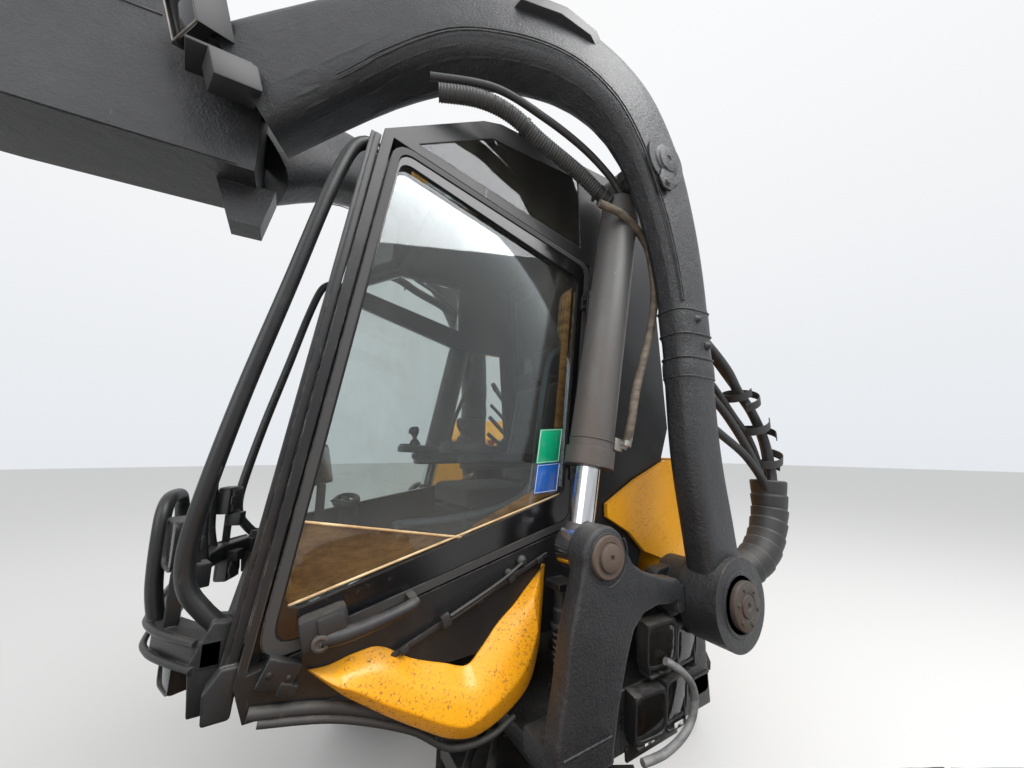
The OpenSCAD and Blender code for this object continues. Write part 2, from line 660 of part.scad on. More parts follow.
module door_handle() {
    translate([1020, cab_y - 1, 1618]) rotate([0, 14, 0]) {
        translate([-30, 0, -30]) cube([80, 35, 60]);
        translate([-55, 20, -23]) cube([45, 42, 34]);
        translate([-30, 45, -6]) rotate([0, -90, 0]) cylinder(r = 17, h = 190);
        translate([-232, 0, -23]) cube([24, 62, 34]);
    }
}
module door_glass() {
    color(smoke) pane(door_window, cab_y - 16 - glass_t, cab_y - 16);
}
module seat() {
    color(black) {
        translate([200, 0, cab_z0 + wall + clear]) cylinder(r = 150, h = 250);
        box(20, 410, -230, 230, cab_z0 + wall + 250, cab_z0 + wall + 290);
        box(0, 440, -250, 250, 1765, 1880);
        translate([-40, 0, 1840]) rotate([0, -12, 0]) {
            box(-60, 60, -240, 240, 0, 620);
            box(-50, 40, -140, 140, 640, 860);
            box(-10, 10, -60, 60, 600, 660);
        }
    }
}
module controls() {
    color(black) {
        both_sides() {
            box(120, 530, 290, 400, 1985, 2040);
            box(390, 580, 270, 430, 2040, 2075);
            translate([490, 350, 2075]) cylinder(r = 28, h = 90);
            box(80, 160, 250 + clear, 300, 1790, 2000);
        }
        translate([880, 0, cab_z0 + wall + clear]) cylinder(r = 40, h = 330);
        box(820, 990, -180, 180, 1815, 1850);
        translate([1000, -420, 1850]) rotate([0, -12, 0]) box(-20, 20, -150, 150, 0, 220);
        box(960, 1000, -330, -270, cab_z0 + wall + clear, 1870);
    }
}
// Tubes and step bar ahead of the windscreen
guard_tube = [[990, 642, 3076], [1060, 642, 3010], [1112, 644, 2830], [1180, 636, 2540],
    [1262, 620, 2200], [1325, 602, 1900], [1336, 595, 1780], [1310, 595, 1690], [1258, 600, 1625]];
module front_guard() {
    color(charcoal) {
        both_sides() {
            tube(guard_tube, 21);
            side_plate(band(1, 0.955, 0.992, -clear, 34), 605, 680);
        }
        difference() {
            translate([0, 0, 1545]) linear_extrude(70) polygon([[1222, -640], [1290, -640],
                [1400, -480], [1430, -300], [1430, 300], [1400, 480], [1290, 640], [1222, 640]]);
            translate([0, 0, 1500]) linear_extrude(200) polygon([[1200, -560], [1265, -560],
                [1355, -430], [1385, -290], [1385, 290], [1355, 430], [1265, 560], [1200, 560]]);
        }
        both_sides() {
            side_plate(band(0, 0.05, 0.98, -clear, 26), 560, 690);
            box(1224, 1290, 560, 640, 1452, 1640);
            box(1345, 1375, 485, 515, 1600, 1740 - clear);
            tube([[1400, 420, 1612], [1415, 420, 1850], [1420, 380, 1905],
                [1420, 240, 1905], [1415, 200, 1850], [1400, 200, 1612]], 19);
        }
        box(1224, 1264, -560, 560, 1460, 1540);
    }
}
// Moulded skirt below each side of the cab, [x, z]
cowl_edge = [[1055, 1532], [640, 1262], [560, 1250], [500, 1290], [430, 1480], [350, 1655],
    [375, 1672], [470, 1560], [545, 1465], [640, 1440], [780, 1470], [880, 1545], [960, 1575]];
module side_cowls() {
    color(yellow) both_sides() {
        side_plate(cowl_edge, cab_y + clear, cab_y + 52);
        box(500, 700, cab_y - 60, cab_y + 20, 1300, cab_z0 - clear);
    }
}
// Cover behind the cab, with a wing along each side of it, [x, z]
cover_edge = [[-620, 1460], [-560, base_wall_z + clear], [-250, base_wall_z + clear],
    [-250, 1560], [-420, 1950], [-440, 2010], [-590, 2010], [-620, 1960]];
wing_edge = [[-500, 1640], [-250, 1600], [-150, 1640], [-70, 1720], [50, 1790], [50, 1840],
    [-120, 1925], [-330, 2005], [-500, 2005]];
wing_y = cab_y + run_gap + 1;
module rear_cover() {
    color(yellow) {
        side_plate(cover_edge, -wing_y - 18, wing_y + 18);
        both_sides() side_plate(wing_edge, wing_y, wing_y + 18);
    }
}
// A lamp housing with a raised rim, facing +X before it is turned
module lamp(w, h) {
    difference() {
        translate([-40, -w / 2, -h / 2]) cube([54, w, h]);
        translate([4, -w / 2 + 8, -h / 2 + 8]) cube([20, w - 16, h - 16]);
    }
    translate([-62, -w / 4, -h / 4]) cube([23, w / 2, h / 2]);
}
module work_lamps() {
    color(black) {
        both_sides() {
            for (p = arch_lamps)
                translate([p[0], lamp_y + 62, p[1]]) rotate([0, 0, 90]) lamp(112, 118);
            translate([1372, 500, 1800]) rotate([0, 0, 20]) lamp(120, 120);
        }
    }
}

// Crane

// Left yoke arm, rows of [x, y, z, half width, half depth]
arm_mid = arm_y0 + arm_t / 2;
arm_half = arm_t / 2;
arm_rows = [[pivot_x, arm_mid, pivot_z, arm_half, 100], [-200, arm_mid, 1760, arm_half, 100],
    [-165, arm_mid, 2050, arm_half, 98], [-165, arm_mid, 2450, arm_half, 98],
    [-150, arm_mid, 2750, arm_half, 110], [-100, arm_mid, 3010, arm_half, 130],
    [-15, 973, 3235, 64, 148], [115, 945, 3430, 80, 160], [290, 865, 3590, 98, 165],
    [500, 735, 3700, 114, 170], [730, 570, 3755, 130, 176], [960, 405, 3725, 140, 186],
    [1180, 275, 3620, 148, 200], [1400, 175, 3470, 150, 216]];
boom_side = [[1360, 3150], [2100, 3140], [elbow_x + 20, elbow_z - 130], [elbow_x + 115, elbow_z],
    [elbow_x + 20, elbow_z + 125], [3300, 3490], [2300, 3620], [1700, 3680], [1360, 3640]];
stick_top_pin = [1800, 3860];
module lift_arm() {
    color(charcoal) {
        both_sides() difference() {
            union() {
                sweep(smooth(arm_rows, 2));
                y_cylinder(pivot_x, pivot_z, 150, arm_y0, arm_y1 + 20);
                y_cylinder(top_pin_x, top_pin_z, 100, arm_y0 + 5, arm_y1 + 12);
            }
            y_cylinder(pivot_x, pivot_z, pivot_pin_r + clear, arm_y0 - 10, arm_y1 + 30);
        }
        both_sides() y_cylinder(top_pin_x, top_pin_z, 45, cyl_y - 55, arm_y0 + 20);
        difference() {
            intersection() {
                side_plate(boom_side, -boom_half, boom_half);
                translate([0, 0, 2500]) linear_extrude(2000) polygon([[1300, -boom_half],
                    [2200, -boom_half], [3500, -120], [elbow_x + 200, -120],
                    [elbow_x + 200, 120], [3500, 120], [2200, boom_half], [1300, boom_half]]);
            }
            y_cylinder(elbow_x, elbow_z, 50 + clear, -300, 300);
        }
        side_plate([[1290, 3160], [1330, 2975], [1440, 2975], [1500, 3160]], -60, 60);
        both_sides() side_plate([[1660, 3640], [2020, 3630], [1850, 3900], [1800, 3915],
            [1750, 3890]], 60, 90);
        y_cylinder(stick_top_pin[0], stick_top_pin[1], 30, -95, 95);
    }
}
module boom_lamps() {
    color(black) both_sides() {
        translate([1625, 300, 3560]) lamp(130, 120);
        box(1545, 1575, boom_half + clear, 330, 3540, 3580);
    }
}
rod_pin = [rod_pin_x, rod_pin_z];
top_pin = [top_pin_x, top_pin_z];
lift_len = norm(rod_pin - top_pin);
lift_show = 270;       // rod that shows between the barrel and the centre of its pin
module lift_barrels() {
    color(steel) both_sides() difference() {
        union() {
            toward(top_pin, rod_pin, cyl_y, 70, barrel_r, lift_len - lift_show - 70);
            toward(top_pin, rod_pin, cyl_y, lift_len - lift_show - 60, barrel_r + 8, 60);
            toward(top_pin, rod_pin, cyl_y, 20, 46, 100);
            y_cylinder(top_pin_x, top_pin_z, 80, cyl_y - 42, cyl_y + 42);
        }
        y_cylinder(top_pin_x, top_pin_z, 45 + clear, cyl_y - 100, cyl_y + 100);
        toward(top_pin, rod_pin, cyl_y, 150, rod_r + clear, lift_len);
    }
}
module lift_rods() {
    color(steel) both_sides() {
        toward(top_pin, rod_pin, cyl_y, 300, rod_r, lift_len - 340);
        y_cylinder(rod_pin_x, rod_pin_z, 74, cyl_y - 32, base_y0 - 14 - run_gap);
    }
}

// Stick, in a frame with its own x along the stick and the elbow pin at zero
module on_stick() translate([elbow_x, 0, elbow_z]) rotate([0, stick_slope, 0]) children();
lever = [-307, 223];    // pin of the stick cylinder, in the stick's own frame
stick_lever_pin = [elbow_x + lever[0] * cos(stick_slope) + lever[1] * sin(stick_slope),
    elbow_z - lever[0] * sin(stick_slope) + lever[1] * cos(stick_slope)];
channel = [75, 83];    // half width and half height of the hollow in the stick
fork_side = [lever + [-50, -32], lever + [-36, 46], lever + [44, 48], [0, 175], [560, 190],
    [560, -165], [100, -150], [-110, -90]];
module stick_boom() {
    color(charcoal) on_stick() {
        difference() {
            union() {
                translate([0, 96, 0]) rotate([90, 0, 0]) linear_extrude(192)
                    polygon([[500, -160], [stick_len, -112], [stick_len, 112], [900, 190],
                        [500, 190]]);
                box(330, 560, -170, 170, -158, 186);
                both_sides() side_plate(fork_side, 130, 170);
                y_cylinder(0, 0, 50, -150, 150);
                both_sides() y_cylinder(lever[0], lever[1], 55, 130, 182);
            }
            box(600, stick_len + 1, -channel[0], channel[0], -channel[1], channel[1]);
        }
        // Wear pads at the nose that the extension slides on
        both_sides() box(stick_len - 120, stick_len, 69 + clear, channel[0] + 1, -50, 50);
        for (s = [-1, 1])
            box(stick_len - 120, stick_len, -50, 50, s > 0 ? 77 + clear : -channel[1] - 1,
                s > 0 ? channel[1] + 1 : -77 - clear);
    }
}
stick_cyl_len = norm(stick_lever_pin - stick_top_pin);
stick_barrel_end = 1600;   // from the upper pin to the barrel's mouth
module stick_barrel() {
    color(steel) difference() {
        union() {
            toward(stick_top_pin, stick_lever_pin, 0, 190, 75, stick_barrel_end - 190);
            toward(stick_top_pin, stick_lever_pin, 0, 10, 45, 200);
            y_cylinder(stick_top_pin[0], stick_top_pin[1], 62, -50, 50);
        }
        y_cylinder(stick_top_pin[0], stick_top_pin[1], 30 + clear, -100, 100);
        toward(stick_top_pin, stick_lever_pin, 0, 300, 40 + clear, stick_cyl_len);
    }
}
module stick_rod() {
    color(steel) {
        toward(stick_top_pin, stick_lever_pin, 0, 900, 40, stick_cyl_len - 950);
        y_cylinder(stick_lever_pin[0], stick_lever_pin[1], 70, -60, 60);
        y_cylinder(stick_lever_pin[0], stick_lever_pin[1], 38, -130 + run_gap, 130 - run_gap);
    }
}
module extension() {
    color(charcoal) on_stick() {
        difference() {
            box(620, stick_len + ext_len - 90, -69, 69, -77, 77);
            box(640, stick_len + ext_len - 200, -58, 58, -66, 66);
        }
        both_sides() difference() {
            union() {
                y_cylinder(stick_len + ext_len, 0, 70, 45, 69);
                box(stick_len + ext_len - 95, stick_len + ext_len, 45, 69, -70, 70);
            }
            y_cylinder(stick_len + ext_len, 0, 30 + clear, 0, 100);
        }
    }
}

// Tool end

module swing_link() {
    color(black) {
        y_cylinder(tip_x, tip_z, 30, -70, 70);
        y_cylinder(tip_x, tip_z, 62, -40, 40);
        box(tip_x - 50, tip_x + 50, -38, 38, tip_z - link_drop + 40, tip_z);
        difference() {
            translate([tip_x - 60, 0, tip_z - link_drop]) rotate([0, 90, 0]) cylinder(r = 60, h = 120);
            translate([tip_x - 80, 0, tip_z - link_drop]) rotate([0, 90, 0])
                cylinder(r = 28 + clear, h = 160);
        }
    }
}
module rotator() {
    z = tip_z - link_drop;
    color(black) {
        translate([tip_x - 100, 0, z]) rotate([0, 90, 0]) cylinder(r = 28, h = 200);
        for (s = [-1, 1]) box(tip_x + s * 85 - 18, tip_x + s * 85 + 18, -60, 60, z - 130, z + 45);
        translate([tip_x, 0, z - 230]) cylinder(r = 130, h = 110);
        translate([tip_x, 0, head_top_z + 30]) cylinder(r = 95, h = 110);
    }
}
// Harvester head, level along x, hung from a fork that it tilts in
head_pin_z = head_top_z - 150;
head_z1 = head_pin_z - 160;      // top of the head's beam
head_z0 = head_z1 - 130;         // underside of the head's beam
knife_z = head_z0 - 45;
trunk_z = knife_z - 170;         // centre line of the trunk that the head grips
module head_fork() {
    color(yellow) {
        translate([tip_x, 0, head_top_z - 20]) cylinder(r = 150, h = 50 - clear);
        box(tip_x - 130, tip_x + 130, -165, 165, head_top_z - 50, head_top_z - 15);
        both_sides() difference() {
            side_plate([[tip_x - 60, head_pin_z], [tip_x - 40, head_pin_z - 45],
                [tip_x + 40, head_pin_z - 45], [tip_x + 60, head_pin_z],
                [tip_x + 130, head_top_z - 15], [tip_x - 130, head_top_z - 15]], 130, 165);
            y_cylinder(tip_x, head_pin_z, 28 + clear, 100, 200);
        }
    }
}
knife_x = tip_x + head_front - 170;
module head_frame() {
    color(yellow) {
        difference() {
            side_plate([[tip_x - head_back, head_z0], [tip_x + head_front - 60, head_z0],
                [tip_x + head_front, head_z0 + 50], [tip_x + head_front - 260, head_z1],
                [tip_x - head_back + 120, head_z1], [tip_x - head_back, head_z1 - 60]], -200, 200);
            box(tip_x + 180, tip_x + 480, -120, 120, head_z0 + 40, head_z1 + 10);
        }
        // Lugs and pins of the tilt fork
        both_sides() {
            side_plate([[tip_x - 90, head_z1 - 10], [tip_x + 90, head_z1 - 10],
                [tip_x + 45, head_pin_z + 30], [tip_x, head_pin_z + 45],
                [tip_x - 45, head_pin_z + 30]], 90, 125);
            y_cylinder(tip_x, head_pin_z, 28, 100, 172);
        }
        // Lugs of the knives, with a pin through each pair
        both_sides() {
            for (s = [-1, 1]) translate([knife_x + s * 63 - 17, 165, knife_z])
                rotate([0, 90, 0]) cylinder(r = 42, h = 34);
            for (s = [-1, 1]) box(knife_x + s * 63 - 17, knife_x + s * 63 + 17, 125, 200,
                knife_z, head_z0 + 20);
            translate([knife_x - 75, 165, knife_z]) rotate([0, 90, 0]) cylinder(r = 20, h = 150);
        }
        // Arms and axles of the feed rollers
        both_sides() {
            box(roller_x - 70, roller_x + 70, 120, roller_y + 50, head_z0 - 45, head_z0 + 10);
            translate([roller_x, roller_y, head_z0 - 390]) cylinder(r = 32, h = 380);
        }
        // Saw box at the rear
        difference() {
            box(tip_x - head_back - 170, tip_x - head_back + 5, -180, 180, head_z0 - 380, head_z1 - 60);
            box(tip_x - head_back - 100, tip_x - head_back - 70, -181, 181,
                head_z0 - 381, head_z0 - 40);
        }
        translate([tip_x - head_back - 110, saw_y, saw_z]) rotate([0, 90, 0])
            cylinder(r = 16, h = 50);
        box(tip_x - head_back, tip_x - head_back + 130, -150, 150, head_z0 - 60, head_z0 + 10);
    }
}
roller_x = tip_x - 40;
roller_y = 275;
module feed_roller(side) {
    color(black) mirror([0, side < 0 ? 1 : 0, 0]) translate([roller_x, roller_y, head_z0 - 380])
        difference() {
            union() {
                cylinder(r = 128, h = 320);
                for (i = [0 : 11]) rotate(i * 30) translate([120, -9, 12]) cube([28, 18, 296]);
            }
            translate([0, 0, -1]) cylinder(r = 32 + clear, h = 400);
        }
}
// Curved delimbing knife: a ring sector round the trunk, joined to its pivot boss
module knife(side) {
    r1 = 300;
    r0 = 262;
    color(steel) mirror([0, side < 0 ? 1 : 0, 0]) translate([knife_x - 40, 0, 0])
        rotate([90, 0, 90]) difference() {
            union() {
                translate([165, knife_z, 0]) cylinder(r = 40, h = 80);
                intersection() {
                    translate([0, trunk_z, 0]) difference() {
                        cylinder(r = r1, h = 80, $fn = 96);
                        translate([0, 0, -1]) cylinder(r = r0, h = 82, $fn = 96);
                    }
                    linear_extrude(80) polygon([[8, trunk_z], [8, trunk_z - 400],
                        [400, trunk_z - 400], [400, trunk_z + 60], [100, trunk_z + 60]]);
                }
                linear_extrude(80) polygon([[138, knife_z - 30], [196, knife_z + 25],
                    [296, trunk_z + 45], [268, trunk_z + 5]]);
            }
            translate([165, knife_z, -1]) cylinder(r = 20 + clear, h = 82);
        }
}
// Saw bar and its drive, which swing out of the box
saw_y = 130;
saw_z = head_z0 - 100;
module saw_unit() {
    x = tip_x - head_back - 89;
    color(steel) translate([x, saw_y, saw_z]) rotate([90, 0, 90]) {
        linear_extrude(8) difference() {
            union() {
                circle(42);
                polygon([[-40, -8], [40, -8], [36, -240], [20, -262], [-20, -262], [-36, -240]]);
            }
            circle(16 + clear);
        }
    }
}

carried() mid_frame();
carried() slew_ring();
carried() front_frame();
carried() front_bogies();
carried() nose_cover();
carried() rear_frame();
carried() rear_bogies();
carried() engine();
carried() engine_hood();
carried() engine_grilles();
carried() exhaust_stack();
carried() at_wheel(0) tyre();  // tyre_front_left_1
carried() at_wheel(1) tyre();  // tyre_front_left_2
carried() at_wheel(2) tyre();  // tyre_front_right_1
carried() at_wheel(3) tyre();  // tyre_front_right_2
carried() at_wheel(4) tyre();  // tyre_rear_left_1
carried() at_wheel(5) tyre();  // tyre_rear_left_2
carried() at_wheel(6) tyre();  // tyre_rear_right_1
carried() at_wheel(7) tyre();  // tyre_rear_right_2
carried() at_wheel(0) rim();  // rim_front_left_1
carried() at_wheel(1) rim();  // rim_front_left_2
carried() at_wheel(2) rim();  // rim_front_right_1
carried() at_wheel(3) rim();  // rim_front_right_2
carried() at_wheel(4) rim();  // rim_rear_left_1
carried() at_wheel(5) rim();  // rim_rear_left_2
carried() at_wheel(6) rim();  // rim_rear_right_1
carried() at_wheel(7) rim();  // rim_rear_right_2
carried() steer_barrel(1);  // steer_barrel_front
carried() steer_rod(1);  // steer_rod_front
carried() steer_barrel(-1);  // steer_barrel_rear
carried() steer_rod(-1);  // steer_rod_rear
placed() crane_base();
placed() cab_mounts();
placed() cab_shell();
placed() cab_glass();
placed() door();
placed() door_glass();
placed() seat();
placed() controls();
placed() front_guard();
placed() side_cowls();
placed() rear_cover();
placed() work_lamps();
placed() lift_arm();
placed() boom_lamps();
placed() lift_barrels();
placed() lift_rods();
placed() stick_boom();
placed() stick_barrel();
placed() stick_rod();
placed() extension();
placed() swing_link();
placed() rotator();
placed() head_fork();
placed() head_frame();
placed() saw_unit();
placed() feed_roller(1);  // feed_roller_left
placed() feed_roller(-1);  // feed_roller_right
placed() knife(1);  // knife_left
placed() knife(-1);  // knife_right
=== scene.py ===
import bpy, bmesh, json, math, random
from mathutils import Matrix, Vector, noise


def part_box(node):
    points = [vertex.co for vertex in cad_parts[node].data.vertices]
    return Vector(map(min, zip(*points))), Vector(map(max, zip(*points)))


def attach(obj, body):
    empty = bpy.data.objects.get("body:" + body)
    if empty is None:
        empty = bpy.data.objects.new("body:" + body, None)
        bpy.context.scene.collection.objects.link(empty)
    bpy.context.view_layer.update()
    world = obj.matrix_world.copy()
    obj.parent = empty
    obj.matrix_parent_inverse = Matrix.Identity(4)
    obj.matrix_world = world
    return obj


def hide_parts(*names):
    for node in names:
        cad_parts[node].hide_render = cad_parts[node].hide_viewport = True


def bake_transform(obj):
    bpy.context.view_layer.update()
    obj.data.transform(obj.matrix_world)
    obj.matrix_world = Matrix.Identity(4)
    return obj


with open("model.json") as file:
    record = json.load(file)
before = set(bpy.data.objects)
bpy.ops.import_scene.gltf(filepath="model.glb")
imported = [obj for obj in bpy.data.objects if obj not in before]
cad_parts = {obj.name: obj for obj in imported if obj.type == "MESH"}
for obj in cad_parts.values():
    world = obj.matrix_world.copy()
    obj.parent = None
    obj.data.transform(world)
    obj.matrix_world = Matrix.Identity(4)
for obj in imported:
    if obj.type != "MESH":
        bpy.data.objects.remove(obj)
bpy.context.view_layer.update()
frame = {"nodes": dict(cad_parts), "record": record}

# Places. x, y and z below are millimetres from the slewing axis, the middle plane and the ground,
# with x forward, as in the part's own source. MM turns them into the frame's metres.
MM = 0.001


def middle(node):
    low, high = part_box(node)
    return (Vector(low) + Vector(high)) / 2


SLEW = middle("slew_ring")


def at(x, y, z):
    return Vector((SLEW.x + x * MM, SLEW.y + y * MM, z * MM))


# The camera stands left of the cab and looks right and a little up, as in the photograph
CAMERA_PLACE = at(1150, 1830, 2050)
CAMERA_YAW = math.radians(31)
CAMERA_PITCH = math.radians(10.1)
FOCAL_PIXELS = 370
PICTURE_WIDTH = 1024
SENSOR_WIDTH = 36.0

# Materials


class Paint:
    """Builds one node material, with short names for the nodes that most of them use."""

    def __init__(self, name, base, rough, metal=0.0):
        self.material = bpy.data.materials.new(name)
        self.material.use_nodes = True
        self.tree = self.material.node_tree
        self.shader = self.tree.nodes["Principled BSDF"]
        self.place = self.tree.nodes.new("ShaderNodeTexCoord").outputs["Object"]
        self.colour = base
        self.rough = rough
        self.bumps = []
        self.rounded = None
        self.shader.inputs["Metallic"].default_value = metal

    def link(self, source, socket):
        if isinstance(source, bpy.types.NodeSocket):
            self.tree.links.new(source, socket)
        elif hasattr(source, "__len__"):
            socket.default_value = (*source[:3], 1.0)
        else:
            socket.default_value = source

    def noise(self, scale, detail=4.0, rough=0.55, stretch=None, distortion=0.0):
        node = self.tree.nodes.new("ShaderNodeTexNoise")
        node.inputs["Scale"].default_value = scale
        node.inputs["Detail"].default_value = detail
        node.inputs["Roughness"].default_value = rough
        node.inputs["Distortion"].default_value = distortion
        self.link(self.stretched(stretch), node.inputs["Vector"])
        return node.outputs["Fac"]

    def stretched(self, stretch):
        if stretch is None:
            return self.place
        node = self.tree.nodes.new("ShaderNodeMapping")
        node.inputs["Scale"].default_value = stretch
        self.link(self.place, node.inputs["Vector"])
        return node.outputs["Vector"]

    def cells(self, scale, feature="DISTANCE_TO_EDGE", stretch=None):
        node = self.tree.nodes.new("ShaderNodeTexVoronoi")
        node.feature = feature
        node.inputs["Scale"].default_value = scale
        self.link(self.stretched(stretch), node.inputs["Vector"])
        return node.outputs["Distance"]

    def span(self, value, low, high, out_low=0.0, out_high=1.0):
        node = self.tree.nodes.new("ShaderNodeMapRange")
        node.interpolation_type = "SMOOTHSTEP"
        self.link(value, node.inputs["Value"])
        for socket, number in zip(("From Min", "From Max", "To Min", "To Max"),
                                  (low, high, out_low, out_high)):
            node.inputs[socket].default_value = number
        return node.outputs["Result"]

    def math(self, operation, a, b=0.0):
        node = self.tree.nodes.new("ShaderNodeMath")
        node.operation = operation
        node.use_clamp = operation in ("MULTIPLY", "ADD")
        self.link(a, node.inputs[0])
        self.link(b, node.inputs[1])
        return node.outputs[0]

    def mix(self, a, b, factor):
        node = self.tree.nodes.new("ShaderNodeMix")
        node.data_type = "RGBA"
        self.link(factor, node.inputs["Factor"])
        self.link(a, node.inputs[6])
        self.link(b, node.inputs[7])
        return node.outputs[2]

    def blend_number(self, a, b, factor):
        node = self.tree.nodes.new("ShaderNodeMix")
        node.data_type = "FLOAT"
        self.link(factor, node.inputs["Factor"])
        self.link(a, node.inputs[2])
        self.link(b, node.inputs[3])
        return node.outputs[0]

    def upward(self, low=0.35, high=0.95):
        """How far a face looks up, for the dust that settles on it."""
        geometry = self.tree.nodes.new("ShaderNodeNewGeometry")
        split = self.tree.nodes.new("ShaderNodeSeparateXYZ")
        self.link(geometry.outputs["Normal"], split.inputs[0])
        return self.span(split.outputs["Z"], low, high)

    def height(self, low, high):
        """0 below low and 1 above high, in metres above the ground."""
        split = self.tree.nodes.new("ShaderNodeSeparateXYZ")
        self.link(self.place, split.inputs[0])
        return self.span(split.outputs["Z"], low, high)

    def edges(self, radius, low=0.02, high=0.25):
        """1 along sharp edges, where paint wears first."""
        bevel = self.tree.nodes.new("ShaderNodeBevel")
        bevel.samples = 4
        bevel.inputs["Radius"].default_value = radius
        geometry = self.tree.nodes.new("ShaderNodeNewGeometry")
        dot = self.tree.nodes.new("ShaderNodeVectorMath")
        dot.operation = "DOT_PRODUCT"
        self.link(bevel.outputs["Normal"], dot.inputs[0])
        self.link(geometry.outputs["Normal"], dot.inputs[1])
        return self.span(self.math("SUBTRACT", 1.0, dot.outputs["Value"]), low, high)

    def over(self, factor, colour=None, rough=None):
        """Lays another colour and roughness over what is there."""
        if colour is not None:
            self.colour = self.mix(self.colour, colour, factor)
        if rough is not None:
            self.rough = self.blend_number(self.rough, rough, factor)

    def soften(self, radius):
        """Shades sharp edges as if they were rounded by radius, in metres."""
        bevel = self.tree.nodes.new("ShaderNodeBevel")
        bevel.samples = 4
        bevel.inputs["Radius"].default_value = radius
        self.rounded = bevel.outputs["Normal"]

    def bump(self, value, distance, strength=1.0):
        self.bumps.append((value, distance, strength))

    def done(self, coat=0.0, specular=0.5):
        self.link(self.colour, self.shader.inputs["Base Color"])
        self.link(self.rough, self.shader.inputs["Roughness"])
        self.shader.inputs["Coat Weight"].default_value = coat
        self.shader.inputs["Specular IOR Level"].default_value = specular
        normal = self.rounded
        for value, distance, strength in self.bumps:
            node = self.tree.nodes.new("ShaderNodeBump")
            node.inputs["Distance"].default_value = distance
            node.inputs["Strength"].default_value = strength
            self.link(value, node.inputs["Height"])
            if normal is not None:
                self.link(normal, node.inputs["Normal"])
            normal = node.outputs["Normal"]
        if normal is not None:
            self.link(normal, self.shader.inputs["Normal"])
        return self.material


CHARCOAL = (0.0125, 0.0132, 0.0145)
DUST = (0.115, 0.105, 0.090)
MUD = (0.105, 0.078, 0.055)
RUST = (0.130, 0.052, 0.022)
BARE_STEEL = (0.28, 0.275, 0.27)
YELLOW = (0.80, 0.355, 0.008)


def worn_black(name, base=CHARCOAL, rough=0.42, cast=False, dust=0.5, low_mud=True):
    """Dark machine paint: mottled, dusty on top, rubbed bare on its edges."""
    p = Paint(name, base, rough)
    p.soften(0.005)
    mottle = p.noise(3.1, 6, 0.62)
    p.over(p.span(mottle, 0.35, 0.75, 0, 0.45), tuple(c * 1.9 for c in base), rough + 0.12)
    film = p.noise(14, 8, 0.72, distortion=0.4)
    p.over(p.span(film, 0.52, 0.80, 0, dust * 0.28), DUST, 0.72)
    p.over(p.math("MULTIPLY", p.upward(), p.span(p.noise(9, 6, 0.7), 0.3, 0.7, 0.06, dust * 0.7)),
           DUST, 0.8)
    if low_mud:
        low = p.math("SUBTRACT", 1.0, p.height(0.5, 1.35))
        p.over(p.math("MULTIPLY", low, p.span(p.noise(5, 7, 0.7), 0.42, 0.66, 0, 0.85)), MUD, 0.9)
    scratch = p.noise(46, 3, 0.6, stretch=(1, 1, 0.2))
    p.over(p.span(scratch, 0.70, 0.76, 0, 0.16), BARE_STEEL, 0.5)
    specks = p.noise(210, 2, 0.6)
    p.over(p.span(specks, 0.70, 0.76, 0, 0.35), (0.16, 0.14, 0.11), 0.8)
    wear = p.math("MULTIPLY", p.edges(0.006), p.span(p.noise(19, 5, 0.65), 0.45, 0.62))
    p.over(wear, (0.13, 0.125, 0.12), 0.45)
    chips = p.noise(9, 9, 0.75, distortion=0.8)
    p.over(p.span(chips, 0.70, 0.74, 0, 0.7), RUST, 0.85)
    if cast:
        p.bump(p.noise(105, 5, 0.68), 0.0045, 0.8)
        p.bump(p.noise(13, 4, 0.5), 0.008, 0.7)
    else:
        p.bump(p.noise(240, 2, 0.5), 0.0006, 0.5)
        p.bump(p.noise(4, 3, 0.5), 0.004, 0.3)
    return p.done(coat=0.04, specular=0.38)


def worn_yellow(name, dirt=0.5):
    """Yellow paint with sun-dulled patches, specks of dirt and grime that gathers on top."""
    p = Paint(name, YELLOW, 0.34)
    p.soften(0.005)
    p.over(p.span(p.noise(2.3, 5, 0.6), 0.35, 0.7, 0, 0.45), (0.68, 0.27, 0.006), 0.42)
    p.over(p.math("MULTIPLY", p.upward(0.5, 1), p.span(p.noise(9, 8, 0.72), 0.38, 0.7, 0, 0.5)),
           (0.26, 0.17, 0.08), 0.75)
    film = p.span(p.noise(4.5, 6, 0.65, distortion=0.6), 0.34, 0.58)
    specks = p.span(p.noise(140, 5, 0.75, distortion=0.5), 0.545, 0.62, 0, 0.95)
    p.over(p.math("MULTIPLY", p.math("MULTIPLY", film, specks), min(1, dirt * 1.2)),
           (0.10, 0.055, 0.02), 0.8)
    crumbs = p.noise(70, 4, 0.75, distortion=0.6)
    p.over(p.span(crumbs, 0.64, 0.70, 0, dirt), (0.05, 0.035, 0.02), 0.8)
    grime = p.noise(17, 9, 0.8, distortion=1.4)
    p.over(p.span(grime, 0.60, 0.73, 0, dirt * 0.9), (0.12, 0.065, 0.022), 0.8)
    p.over(p.edges(0.004, 0.05, 0.35), (0.16, 0.09, 0.03), 0.7)
    p.bump(p.noise(160, 3, 0.6), 0.0005, 0.5)
    p.bump(crumbs, 0.0012, 0.5)
    return p.done(coat=0.18)


